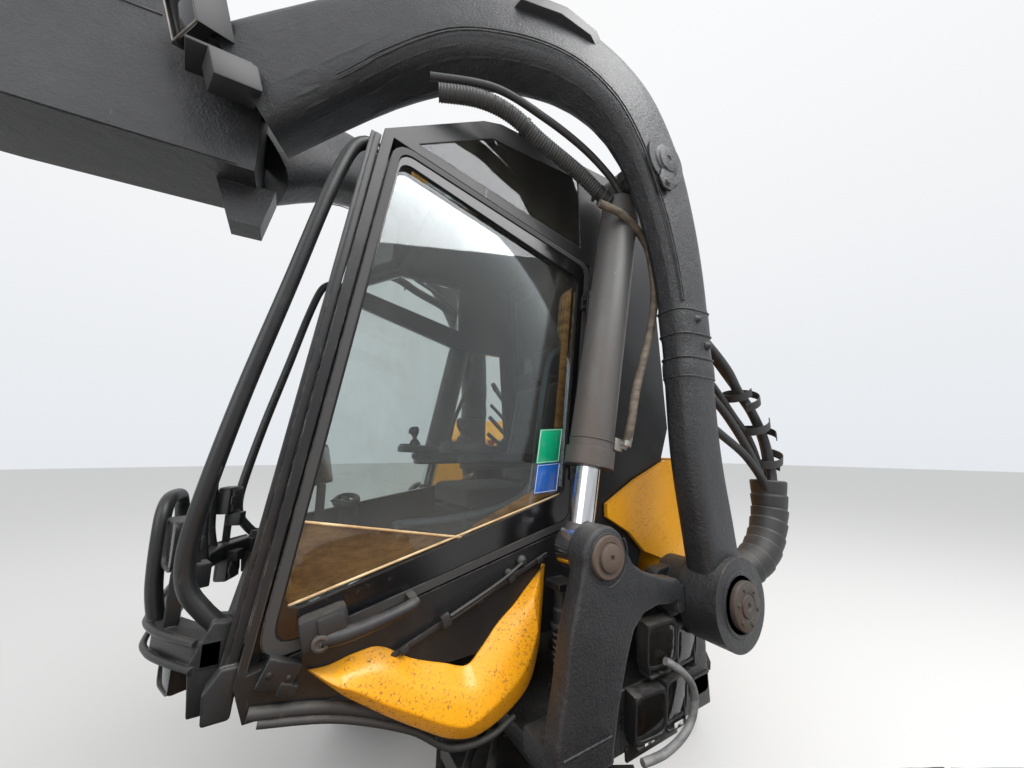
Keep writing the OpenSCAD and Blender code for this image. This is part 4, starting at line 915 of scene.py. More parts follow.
def lift_cylinder(side):
    """Gland rings, weld, port block, hose and rod neck of a lift cylinder."""
    name = HAND[side]
    top, foot = Vector((*TOP_PIN, 0)).xzy, Vector((*ROD_PIN, 0)).xzy
    along = (foot - top).normalized()

    def spot(distance):
        p = top + along * distance
        return at(p.x, CYLINDER_Y * side, p.z)

    barrel = Shape()
    for d in (150, 168, 1110, 1150):
        barrel.lathe(spot(d), along, [(0, 78), (1, 80.5), (5, 80.5), (6, 78)], 48)
    barrel.lathe(spot(1204), along, [(0, 84), (0, 86.2), (2, 87), (2.6, 86.2), (2.6, 84)], 48)
    barrel.made(name + "_lift_barrel_rings", "lift_barrel", "steel", 40)
    port = Shape()
    p = spot(1128)
    port.box(p + Vector((-92 * MM, 26 * side * MM, 0)), (40, 40, 46), facing(0, 12), 4)
    port.lathe(p + Vector((-116 * MM, 40 * side * MM, -12 * MM)), (-0.2, 0.5 * side, 1),
               [(0, 15), (12, 15), (12, 19), (24, 19), (24, 14), (30, 14)], 6)
    port.made(name + "_lift_port", "lift_barrel", "fitting_steel", 30)
    hose(name + "_lift_hose", "lift_barrel",
         [(90, 878, 2086), (74, 888, 2150), (44, 894, 2272), (-8, 896, 2400),
          (-62, 896, 2530), (-98, 896, 2670), (-98, 896, 2780), (-76, 897, 2885),
          (-6, 899, 2952), (84, 899, 2990), (176, 880, 3010)], 16, "old_hose", side=side)
    ferrule = Shape()
    ferrule.lathe(at(92, 874 * side, 2062), (-0.26, 0.1 * side, 1),
                  [(0, 17), (4, 18.5), (10, 17), (16, 18.5), (22, 17), (28, 18.5), (36, 17),
                   (70, 16.5)], 20)
    ferrule.made(name + "_lift_ferrule", "lift_barrel", "fitting_steel", 40)
    neck = Shape()
    neck.lathe(spot((foot - top).length - 76), along,
               [(0, 43), (0, 50), (14, 52), (40, 60), (60, 66)], 40)
    neck.made(name + "_lift_rod_neck", "lift_rod", "steel", 40)


def upright(side):
    """Place for a plate that stands along the machine: u forward, v up, w outwards."""
    return lambda u, v, w: at(u, w * side, v)


def slab(shape, outline, w0, w1, put, edge=8, steps=3):
    """Plate with rounded rims. outline runs anticlockwise in u and v, and put(u, v, w) places
    its points."""
    rows = [(w0 + edge * (1 - math.sin(a)), edge * (1 - math.cos(a)))
            for a in (math.pi / 2 * k / steps for k in range(steps, -1, -1))]
    rows += [(w0 + w1 - w, inset) for w, inset in reversed(rows)]
    points = [put(u, v, w) for w, inset in rows
              for u, v in (inward(outline, inset) if inset > 0.01 else outline)]
    shape.add(points, ring_faces(len(rows), len(outline), True))


def bead(shape, points, radius=5.0):
    """Weld bead with its ripples, along places."""
    shape.tube(points, radius, 7, 3.5,
               lambda d: 1 + 0.16 * math.sin(d * 0.9) + 0.07 * math.sin(d * 0.23))


def circle_at(x, y, z, radius, count=28, start=0.0, sweep=360.0):
    """Places round a point on a plane along the machine."""
    return [at(x + radius * math.cos(math.radians(start + sweep * k / count)), y,
               z + radius * math.sin(math.radians(start + sweep * k / count)))
            for k in range(count + 1)]


# Side plates of the crane base, [x, z], and the bosses on its pins
ROD_PIN = (285, 1730)
TOP_PIN = (-30, 3170)
CYLINDER_Y = 820
PIVOT = (-230, 1530)
EAR_R = 88
BOSS_R = 104
BASE_FRONT = [(490, 1190), (486, 1290), (456, 1400), (428, 1540), (395, 1640), (371, 1716),
              (355, 1782), (300, 1815), (240, 1800), (200, 1745), (165, 1690), (120, 1662),
              (20, 1624), (-70, 1607), (-70, 1532), (60, 1548), (130, 1538), (178, 1500),
              (212, 1430), (250, 1330), (290, 1190)]
BASE_REAR = [(-215, 1130), (-170, 1400), (-75, 1490), (-70, 1606), (-305, 1618), (-330, 1530),
             (-345, 1240), (-345, 1130)]


def base_side(side):
    """Cast legs, ears, pin caps, flange bolts and weld beads on one side of the crane base."""
    name = HAND[side]
    out = Vector((0, side, 0))
    stand = upright(side)
    legs = Shape()
    slab(legs, rounded(BASE_FRONT, 34, 4), 880, 950, stand, 13, 4)
    slab(legs, rounded(BASE_REAR, 34, 4), 780, 835, stand, 8)
    legs.lathe(at(ROD_PIN[0], 866 * side, ROD_PIN[1]), out,
               [(0, EAR_R - 6), (6, EAR_R), (70, EAR_R), (79, EAR_R - 3), (84, EAR_R - 9),
                (84.5, 66)], 56)
    legs.lathe(at(PIVOT[0], 780 * side, PIVOT[1]), out,
               [(0, BOSS_R), (124, BOSS_R), (130, BOSS_R - 6)], 56)
    legs.box(at(-58, 865 * side, 1546), (40, 168, 86), None, 8)
    legs.box(at(385, 865 * side, 1222), (196, 170, 68), None, 8)
    legs.box(at(38, 808 * side, 1145), (764, 54, 110), None, 6)
    legs.made(name + "_base_legs", "upper", "arm_paint", 42, left_only(side, "crane_base"))
    cap = Shape()
    cap.lathe(at(ROD_PIN[0], 948 * side, ROD_PIN[1]), out,
              [(0, 64), (12, 64), (16, 61), (16, 45), (14, 43), (14, 41), (24, 41), (26, 38),
               (26, 9), (20, 8)], 56)
    cap.made(name + "_rod_pin_cap", "upper", "rusty_pin", 40)
    plug = Shape()
    plug.lathe(at(PIVOT[0], 1058 * side, PIVOT[1]), out,
               [(0, 78), (12, 80), (17, 78), (19, 74), (19, 44), (17, 42), (17, 36), (21, 35),
                (22, 30), (22, 12), (18, 10)], 56)
    for place in circle_at(PIVOT[0], 1076 * side, PIVOT[1], 58, 6, 15)[:6]:
        plug.bolt(place, out, 15, False)
    plug.made(name + "_pivot_cap", "upper", "ring_steel", 40)
    ring = Shape()
    ring.lathe(at(PIVOT[0], 1030 * side, PIVOT[1]), out,
               [(0, 111), (22, 111), (26, 107), (27, 96), (25, 92), (25, 84)], 56)
    ring.made(name + "_pivot_ring", "boom", "arm_paint", 40)
    beads = Shape()
    for r, y, start, sweep in ((66, 951, 0, 360), (EAR_R + 1, 949, 150, 120)):
        bead(beads, circle_at(ROD_PIN[0], y * side, ROD_PIN[1], r, 28, start, sweep), 3.5)
    bead(beads, [at(x, 948 * side, 1258) for x in (292, 350, 410, 468)], 5)
    bead(beads, [at(x, 836 * side, 1200) for x in (-340, -150, 50, 250, 410)], 5)
    beads.made(name + "_base_welds", "upper", "arm_paint", 60)


def base_middle():
    """Ring plate, cross wall and floor of the crane base."""
    plate = Shape()
    plate.lathe(at(0, 0, 1090.4), (0, 0, 1), [(0, 592), (6, 600), (62, 600), (69, 594)], 96)
    for i in range(36):
        a = math.radians(10 * i)
        plate.bolt(at(560 * math.cos(a), 560 * math.sin(a), 1159), (0, 0, 1), 26, False)
    plate.box(at(37, 0, 1126), (764, 1650, 68), None, 6)
    plate.box(at(-315, 0, 1255), (60, 1650, 328), None, 8)
    plate.made("base_ring_plate", "upper", "arm_paint", 40)


def damper(side):
    """Coil spring damper that steadies the cab, with its brackets."""
    name = HAND[side]
    x, y = 297, 742 * side
    coil = Shape()
    turns, r, wire = 9.5, 30, 5
    points = []
    for i in range(int(turns * 14) + 1):
        a = math.tau * i / 14
        points.append(at(x + r * math.cos(a), y + r * math.sin(a), 1262 + 20.5 * i / 14))
    coil.tube(points, wire, 8, 6)
    coil.made(name + "_damper_spring", "upper", "spring_steel", 60)
    strut = Shape()
    strut.lathe(at(x, y, 1462), (0, 0, 1), [(0, 40), (6, 42), (14, 42), (18, 34), (60, 32),
                                            (64, 27), (118, 27)], 28)
    strut.lathe(at(x, y, 1170), (0, 0, 1), [(0, 26), (60, 26), (66, 36), (76, 40), (86, 40),
                                            (90, 34)], 28)
    strut.box(at(x, y, 1168), (64, 50, 22), None, 4)
    strut.made(name + "_damper_body", "upper", "frame_paint", 40)


# Rows of the moulded cowl from its front tip to its rear top, each with x and z of
# its upper edge, its soft ridge, its sharp ridge and its lower edge
COWL_ROWS = [(1056, 1522, 1057, 1524, 1058, 1526, 1058, 1520),
             (1011, 1520, 1014, 1512, 1012, 1500, 1004, 1478),
             (950, 1532, 955, 1510, 958, 1477, 944, 1432),
             (885, 1532, 872, 1490, 876, 1422, 858, 1370),
             (800, 1482, 790, 1436, 790, 1370, 770, 1312),
             (705, 1445, 706, 1392, 716, 1326, 696, 1268),
             (632, 1420, 636, 1370, 652, 1300, 628, 1247),
             (586, 1452, 588, 1386, 590, 1316, 566, 1252),
             (525, 1512, 532, 1436, 516, 1350, 490, 1280),
             (468, 1552, 482, 1494, 462, 1392, 430, 1325),
             (410, 1602, 432, 1562, 424, 1462, 396, 1408),
             (340, 1660, 358, 1664, 360, 1640, 346, 1610)]
COWL_Y = (706, 752, 768, 738)


def cowl(side):
    """Faceted moulding below the side of the cab."""
    name = HAND[side]
    shape = Shape()
    steps = 66
    rings = []
    for k in range(steps + 1):
        t = (len(COWL_ROWS) - 1) * k / steps
        row = catmull(COWL_ROWS, t)
        swell = min(1, (t + 0.06) / 1.6, (len(COWL_ROWS) - 0.94 - t) / 0.9)
        corners = [Vector((row[2 * j], 702 + (COWL_Y[j] - 702) * (swell if j else 1),
                           row[2 * j + 1])) for j in range(4)]
        corners = [Vector((row[0], 699, row[1] - 3)), *corners,
                   Vector((row[6], 699, row[7] + 4))]
        ring = [corners[0]]
        for j, soft in zip(range(1, 5), (0.20, 0.34, 0.10, 0.16)):
            before, here, after = corners[j - 1], corners[j], corners[j + 1]
            for q in range(4):
                u = q / 3
                ring.append(here + (before - here) * soft * (1 - u) ** 2
                            + (after - here) * soft * u ** 2)
        ring.append(corners[5])
        rings.append([at(v.x, v.y * side, v.z) for v in ring])
    shape.add([v for ring in rings for v in ring], ring_faces(len(rings), len(rings[0]), True))
    shape.made(name + "_cowl", "upper", "cowl_plastic", 26, left_only(side, "side_cowls"))
    sill = Shape()
    sill.tube([at(x, (CAB_Y + 6) * side, z) for x, z in
               ((1172, 1462), (1000, 1424), (820, 1345), (690, 1262), (600, 1236))], 14, 12, 20)
    sill.tube([at(x, (CAB_Y + 14) * side, z) for x, z in
               ((1150, 1440), (980, 1396), (800, 1312), (680, 1228), (560, 1212), (470, 1240))],
              9, 10, 20)
    sill.made(name + "_cowl_edge", "upper", "rubber_trim", 60)


BUMPER = [(1222, -640), (1290, -640), (1400, -480), (1430, -300), (1430, 300), (1400, 480),
          (1290, 640), (1222, 640), (1200, 560), (1265, 560), (1355, 430), (1385, 290),
          (1385, -290), (1355, -430), (1265, -560), (1200, -560)]
GUARD_TUBE = [(985, 640, 3078), (1022, 641, 3068), (1060, 642, 3010), (1112, 644, 2830),
              (1180, 636, 2540), (1262, 620, 2200), (1318, 604, 1930), (1336, 596, 1800),
              (1326, 594, 1720), (1290, 597, 1665), (1246, 601, 1618)]


# Foot and top of the rails along the windscreen's pillars, [x, z]
PILLAR_FOOT = (1205, 1520)
PILLAR_TOP = (965, 3105)


def pillar_x(z):
    """How far forward the pillars' front is at a height."""
    (x0, z0), (x1, z1) = PILLAR_FOOT, PILLAR_TOP
    return x0 + (z - z0) * (x1 - x0) / (z1 - z0)


def bumper():
    """Step bar round the front of the cab, with its lip, lamp loops and gussets."""
    bar = Shape()
    slab(bar, rounded(BUMPER, 26, 3), 1545, 1612, at, 9)
    lip = [(1290, -642), (1402, -482), (1433, -300), (1433, 300), (1402, 482), (1290, 642)]
    bar.tube([at(x, y, 1608) for x, y in lip], 9, 10, 12)
    bar.tube([at(x, y, 1552) for x, y in lip], 8, 10, 12)
    bar.box(at(1244, 0, 1500), (40, 1120, 80), None, 5)
    for side in (1, -1):
        bar.plate([at(x, 560 * side, z) for x, z in
                   ((1224, 1640), (1262, 1646), (1300, 1560), (1290, 1452), (1224, 1452))],
                  80, (0, side, 0), 5)
        bar.tube(route(((1400, 440, 1604), (1418, 434, 1700), (1424, 424, 1850),
                        (1424, 392, 1905), (1424, 320, 1915), (1424, 240, 1905),
                        (1420, 206, 1850), (1412, 200, 1700), (1398, 196, 1604)), side),
                 19, 16, 10)
        bar.box(at(1360, 500 * side, 1672), (30, 30, 140), None, 4)
        bar.tube(route(GUARD_TUBE, side), 21, 18, 14)
        for x, z in ((1248, 1622), (990, 3076)):
            bead(bar, circle_at(x, 601 * side if z < 2000 else 640 * side, z, 24, 14), 4)
    bar.made("front_bumper", "upper", "cab_paint", 45, ("front_guard",))
    rails = Shape()
    (foot_x, foot_z), (top_x, top_z) = PILLAR_FOOT, PILLAR_TOP
    edge = Vector((top_x - foot_x, 0, top_z - foot_z)).normalized()
    nose = Vector((edge.z, 0, -edge.x))
    for side in (1, -1):
        for off, wide, deep, y in ((14, 60, 22, 646), (31, 14, 12, 668), (31, 9, 10, 626)):
            a = at(foot_x, y * side, foot_z) + (nose * off + edge * 30) * MM
            b = at(top_x, y * side, top_z) + (nose * off - edge * 6) * MM
            turn = edge.to_track_quat("Z", "Y").to_matrix()
            rails.box((a + b) / 2, (wide if abs(turn.col[0].y) > 0.5 else deep,
                                    deep if abs(turn.col[0].y) > 0.5 else wide,
                                    (b - a).length / MM), turn, 3)
        slab(rails, rounded([(1205, 1452), (1258, 1452), (1262, 1516), (1231, 1560),
                             (1196, 1560)], 8), 560, 690, upright(side), 5)
        for z in (1600, 1900, 2200, 2500, 2800, 3010):
            rails.bolt(at(pillar_x(z) + 26, 648 * side, z), nose, 14)
    rails.made("pillar_rails", "upper", "frame_paint", 40)


def windscreen_clips():
    """Rows of clips in the gaps between the guard tubes and the windscreen."""
    clips = Shape()
    for z in range(1600, 3008, 64):
        for side in (1, -1):
            clips.box(at(pillar_x(z) + 10, 596 * side, z), (16, 30, 26), facing(0, 8), 3)
    clips.made("windscreen_clips", "upper", "black_trim", 40)


def bend_places(side):
    """How a hose from the base to the arm goes over from the one to the other."""
    return ("upper", "boom", *route([(-420, 880, 1500), (-700, 930, 2250)], side))


def arm_hoses(side):
    """Ribbed sleeve with clamps, the wrapped bundle behind the arm, and its loose hoses."""
    name = HAND[side]
    sleeve = [(800, 742, 3300), (666, 790, 3305), (540, 806, 3292), (403, 812, 3232),
              (226, 818, 3172), (120, 822, 3120), (70, 826, 3098)]
    hose(name + "_arm_sleeve", "boom", sleeve, 27, "rubber_trim", ribbed(11, 0.13), 16, 3,
         side)
    hose(name + "_arm_pipe", "boom",
         [(820, 700, 3400), (600, 790, 3390), (400, 830, 3330), (220, 850, 3262),
          (90, 862, 3180), (30, 864, 3120)], 14, "hose_rubber", side=side)
    bands = Shape()
    for t, r in (((120, 822, 3120), 29), ((92, 824, 3108), 29), ((480, 810, 3266), 30)):
        clamp(bands, route([t], side)[0], Vector((-0.88, 0.05 * side, -0.45)), r, 14)
    bands.made(name + "_sleeve_clamps", "boom", "black_trim", 40)
    wrapped = [(-420, 900, 1572), (-500, 925, 1572), (-580, 945, 1612), (-652, 950, 1680),
               (-706, 950, 1780), (-722, 950, 1882), (-726, 950, 1915)]
    wrap = Shape()
    wrap.tube(route(wrapped, side), 70, 30, 5, lambda d: 0.93 + 0.09 * ((d / 58) % 1) ** 0.6)
    wrap.made(name + "_wrapped_bundle", "boom", "hose_rubber", 70, bend=bend_places(side))
    lines = ([(-726, 965, 1880), (-738, 962, 1960), (-716, 958, 2095), (-640, 955, 2219),
              (-556, 950, 2305), (-494, 945, 2398), (-396, 930, 2498), (-300, 900, 2600)],
             [(-690, 940, 1880), (-668, 950, 1930), (-600, 955, 2020), (-499, 955, 2134),
              (-392, 950, 2236), (-290, 930, 2320)],
             [(-670, 965, 1880), (-640, 965, 1930), (-525, 965, 2029), (-385, 955, 2111),
              (-280, 935, 2180)],
             [(-705, 925, 1880), (-702, 930, 1980), (-640, 932, 2100), (-530, 932, 2200),
              (-400, 925, 2330), (-290, 910, 2420)],
             [(-745, 935, 1880), (-760, 935, 1990), (-735, 935, 2110), (-650, 935, 2245),
              (-540, 930, 2350), (-420, 915, 2470), (-310, 900, 2560)])
    for i, (line, r) in enumerate(zip(lines, (20, 17, 17, 14, 14))):
        hose(f"{name}_bundle_hose_{i + 1}", "boom", line, r, side=side,
             bend=bend_places(side))
    for i, (place, tip) in enumerate((((-570, 950, 2285), (0.45, 0.2, 0.87)),
                                      ((-672, 952, 2140), (0.30, 0.15, 0.94)),
                                      ((-738, 955, 1995), (0.15, 0.2, 0.97)))):
        strap = Shape()
        centre = route([place], side)[0]
        along = Vector((tip[0], tip[1] * side, tip[2])).normalized()
        across = along.orthogonal().normalized()
        other = along.cross(across)
        ring_points = []
        steps, wide = 44, 17
        for k in range(steps + 1):
            a = math.radians(400) * k / steps + i
            r = (62 + 10 * math.sin(a * 1.5)) * MM
            mid = (centre + (across * math.cos(a) + other * math.sin(a)) * r
                   + along * (k / steps - 0.5) * 60 * MM)
            half, thick = along * wide * MM, (mid - centre).normalized() * 3 * MM
            ring_points += [mid - half, mid + half, mid + half + thick, mid - half + thick]
        strap.add(ring_points, ring_faces(steps + 1, 4, True))
        strap.made(f"{name}_bundle_strap_{i + 1}", "boom", "rubber_trim", 50,
                   bend=bend_places(side))


def arm_details(side):
    """Wedge, pin lock, bolts, weld seams and the cast groove of a yoke arm."""
    name = HAND[side]
    out = Vector((0, side, 0))
    lock = Shape()
    lock.lathe(at(-30, 1040 * side, 3170), out,
               [(0, 70), (6, 68), (12, 62), (13, 52), (17, 50), (19, 44), (19, 14), (16, 12)], 44)
    lock.plate([at(x, 1046 * side, z) for x, z in
                ((-62, 3120), (14, 3112), (30, 3070), (8, 3036), (-34, 3034), (-58, 3064))],
               9, out, 2)
    lock.bolt(at(-12, 1054 * side, 3064), out, 26)
    lock.made(name + "_top_pin_lock", "boom", "arm_paint", 40)
    bolts = Shape()
    for t, u in ((3.28, -0.06), (2.98, 0.42)):
        place, direction = arm_spot(t, u, 0.5, side)
        bolts.lathe(place, direction, [(0, 17), (3, 17), (6, 13), (12, 11), (15, 6)], 24)
    bolts.made(name + "_arm_studs", "boom", "frame_paint", 50)
    wedge = Shape()
    rows = []
    for t, tall, wide in ((7.72, 2, 26), (7.9, 30, 30), (8.35, 44, 34), (8.9, 44, 34),
                          (9.02, 4, 32)):
        centre, across, outward, half, deep = arm_frame(t, side)
        base = centre + outward * (half - 14) * MM - across * (deep * 0.42) * MM
        rows.append([base - across * wide * MM, base + across * wide * MM,
                     base + across * wide * 0.9 * MM + outward * tall * MM,
                     base - across * wide * 0.9 * MM + outward * tall * MM])
    wedge.add([q for row in rows for q in row], ring_faces(len(rows), 4, True))
    wedge.made(name + "_arm_wedge", "boom", "frame_paint", 30)
    seams = Shape()
    for t in [t for low, high, _ in COLLARS for t in (low, high)]:
        loop = arm_ring(t, side, 48, 2)
        bead(seams, loop + loop[:1], 4.5)
    for u in (-0.80, -0.70):
        seams.tube([arm_spot(t / 4, u, -1.0, side)[0] for t in range(14, 48)], 3.2, 6, 10)
    seams.made(name + "_arm_seams", "boom", "arm_paint", 60)


# Arch lamps: x, z, width, height
ARCH_LAMPS = [(14, 1412, 134, 144), (-132, 1380, 128, 138), (88, 1225, 134, 140),
              (-56, 1228, 128, 138)]


def lamps():
    """Work lamps in the arches, on the bumper and beside the boom, with their brackets."""
    for side in (1, -1):
        name = HAND[side]
        for i, (x, z, w, h) in enumerate(ARCH_LAMPS):
            lamp(f"{name}_arch_lamp_{i + 1}", "upper", at(x, (904 - i % 2 * 12) * side, z),
                 facing((84 + i % 2 * 10) * side, -6), w, h,
                 () if i else left_only(side, "work_lamps"))
        lamp(f"{name}_bumper_lamp", "upper", at(1376, 500 * side, 1810), facing(20 * side),
             122, 124)
        lamp(f"{name}_low_lamp", "upper", at(1352, 472 * side, 1500), facing(24 * side), 96, 96)
        holder = Shape()
        for x, z in ((16, 1316), (-130, 1290), (92, 1142), (-54, 1142)):
            holder.box(at(x, 882 * side, z), (100, 46, 8), None, 2)
            holder.box(at(x - 46, 876 * side, z + 44), (7, 46, 92), None, 2)
            holder.box(at(x + 46, 876 * side, z + 44), (7, 46, 92), None, 2)
            holder.bolt(at(x, 900 * side, z + 6), (0, 0, 1), 16)
        holder.box(at(18, 862 * side, 1270), (330, 10, 46), None, 3)
        holder.box(at(30, 862 * side, 1110), (250, 10, 40), None, 3)
        holder.box(at(1330, 486 * side, 1722), (60, 60, 60), facing(20 * side), 5)
        holder.box(at(1316, 470 * side, 1556), (50, 60, 50), facing(20 * side), 5)
        holder.made(name + "_lamp_brackets", "upper", "frame_paint", 40)
        label = Shape()
        for x, z in ((92, 1146), (-54, 1146)):
            label.box(at(x, 906 * side, z + 6), (44, 2, 14), None, 0.5)
        label.made(name + "_lamp_labels", "upper", "sign_white", 40)
        place, turn = at(1590, 322 * side, 3590), facing(34 * side, -18)
        lamp(f"{name}_boom_lamp", "boom", place, turn, 150, 150, left_only(side, "boom_lamps"))
        rack = Shape()
        for dy in (-84, 84):
            rack.box(place + turn @ Vector((-30 * MM, dy * MM, 0)), (120, 6, 176), turn, 2)
        rack.box(place + turn @ Vector((-30 * MM, 0, 90 * MM)), (120, 170, 6), turn, 2)
        rack.box(at(1490, 300 * side, 3440), (190, 150, 12), facing(10 * side, -10), 3)
        rack.box(at(1475, 258 * side, 3520), (230, 30, 150), facing(6 * side), 4)
        rack.box(at(1500, 240 * side, 3560), (150, 130, 40), None, 4)
        rack.box(at(1440, 330 * side, 3385), (150, 110, 96), facing(18 * side, -16), 8)
        rack.made(name + "_boom_lamp_frame", "boom", "black_trim", 40)
        wire = Shape()
        rim = [(-80, -80), (-80, 80), (80, 80), (80, -80)]
        for (y0, z0), (y1, z1) in zip(rim, rim[1:] + rim[:1]):
            wire.tube([place + turn @ Vector((26 * MM, y0 * MM, z0 * MM)),
                       place + turn @ Vector((26 * MM, (y0 + y1) / 2 * MM, (z0 + z1) / 2 * MM)),
                       place + turn @ Vector((26 * MM, y1 * MM, z1 * MM))], 4, 8, 20)
        wire.made(name + "_boom_lamp_wire", "boom", "fitting_steel", 60)
        hose(name + "_lamp_hose", "upper",
             [(24, 930, 1370), (-30, 948, 1334), (-82, 950, 1270), (-78, 946, 1195),
              (-28, 940, 1146), (60, 934, 1124), (150, 926, 1126)], 12, "grey_hose", side=side)


# Driver's seat and controls


def crowned(name, centre, size, turn, swell=5.0, seams=()):
    """Padded piece, blown up by a cloth simulation, with channels sewn across it afterwards.

    seams are (axis, place, low, high): a channel at that place on the axis, kept to a band of
    the other axis, in the pad's own millimetres."""
    bm = bmesh.new()
    bmesh.ops.create_cube(bm, size=1.0)
    bmesh.ops.scale(bm, vec=[(v - swell) * MM for v in size], verts=bm.verts)
    bmesh.ops.bevel(bm, geom=bm.edges[:], offset=min(size) * 0.30 * MM, segments=4,
                    profile=0.6, affect="EDGES")
    mesh = bpy.data.meshes.new(name)
    bm.to_mesh(mesh)
    bm.free()
    pad = bpy.data.objects.new(name, mesh)
    bpy.context.collection.objects.link(pad)
    pad.modifiers.new("Grain", "REMESH").mode = "VOXEL"
    pad.modifiers["Grain"].voxel_size = 0.010
    baked(pad)
    rest = [v.co.copy() for v in pad.data.vertices]
    blow = pad.modifiers.new("Blow", "CLOTH").settings
    blow.use_pressure = True
    blow.uniform_pressure_force = 4
    blow.effector_weights.gravity = 0
    for step in range(1, 21):
        bpy.context.scene.frame_set(step)
    baked(pad)
    bpy.context.scene.frame_set(1)
    for v, start in zip(pad.data.vertices, rest):
        moved = v.co - start
        if moved.length > swell * MM:
            v.co = start + moved.normalized() * swell * MM
        for axis, place, low, high in seams:
            if low <= v.co[1 - axis] / MM <= high and v.co.z > 0:
                gap = v.co[axis] / MM - place
                v.co.z -= 7 * MM * math.exp(-(gap / 9) ** 2)
    pad.modifiers.new("Smooth", "SUBSURF").levels = 1
    pad.modifiers["Smooth"].render_levels = 1
    baked(pad)
    pad.data.transform(Matrix.Translation(centre) @ turn.to_4x4())
    pad.data.materials.clear()
    pad.data.materials.append(MAT["seat_fabric"])
    pad.data.shade_smooth()
    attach(pad, "upper")
    return pad


def baked(obj):
    """Makes what the modifiers give the piece's own mesh."""
    bpy.context.view_layer.update()
    seen = obj.evaluated_get(bpy.context.evaluated_depsgraph_get())
    mesh = bpy.data.meshes.new_from_object(seen)
    obj.modifiers.clear()
    obj.data = mesh


def seat():
    """Air-sprung seat: two bolsters on each pad, a head rest and a bellows below."""
    flat = Matrix.Identity(3)
    lean = Matrix.Rotation(math.radians(-12), 3, "Y")
    back = at(-40, 0, 1840)
    pad = crowned("seat_cushion", at(226, 0, 1828), (420, 484, 100), flat, 8,
                  ((1, -150, -190, 200), (1, 150, -190, 200), (0, 60, -150, 150),
                   (0, -60, -150, 150)))
    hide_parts("seat")
    upright_pad = lean @ Matrix.Rotation(math.radians(90), 3, "Y")
    crowned("seat_back", back + lean @ Vector((0.004, 0, 0.315)), (590, 460, 96), upright_pad, 8,
            ((1, -140, -250, 260), (1, 140, -250, 260), (0, 40, -140, 140), (0, 130, -140, 140),
             (0, -50, -140, 140)))
    crowned("seat_head_rest", back + lean @ Vector((0.000, 0, 0.752)), (200, 262, 76),
            upright_pad, 7, ((0, 0, -110, 110),))
    for side in (1, -1):
        crowned("arm_rest_" + HAND[side], at(320, 345 * side, 2014), (396, 98, 44), flat, 4)
    base = Shape()
    base.box(at(222, 0, 1757), (390, 440, 14), None, 4)
    base.box(at(215, 0, 1745), (392, 462, 16), None, 4)
    base.box(at(-70, 0, 1850), (40, 400, 120), lean, 10)
    back_shell = back + lean @ Vector((-0.052, 0, 0.30))
    base.box(back_shell, (12, 380, 470), lean, 5)
    for y in (-62, 62):
        base.tube([back + lean @ Vector((-0.004, y * MM, z * MM)) for z in (600, 630, 670)],
                  7, 10, 10)
    for z, wide in ((1497, 150), (1512, 150)):
        base.lathe(at(200, 0, z - 10), (0, 0, 1), [(0, wide), (8, wide), (10, wide - 4)], 40)
    base.made("seat_frame", "upper", "black_trim", 40)
    bellows = Shape()
    bellows.lathe(at(200, 0, 1512), (0, 0, 1),
                  [(a, 132 + 14 * math.cos(math.tau * a / 28)) for a in range(0, 225, 4)], 40)
    bellows.made("seat_bellows", "upper", "rubber_trim", 50)


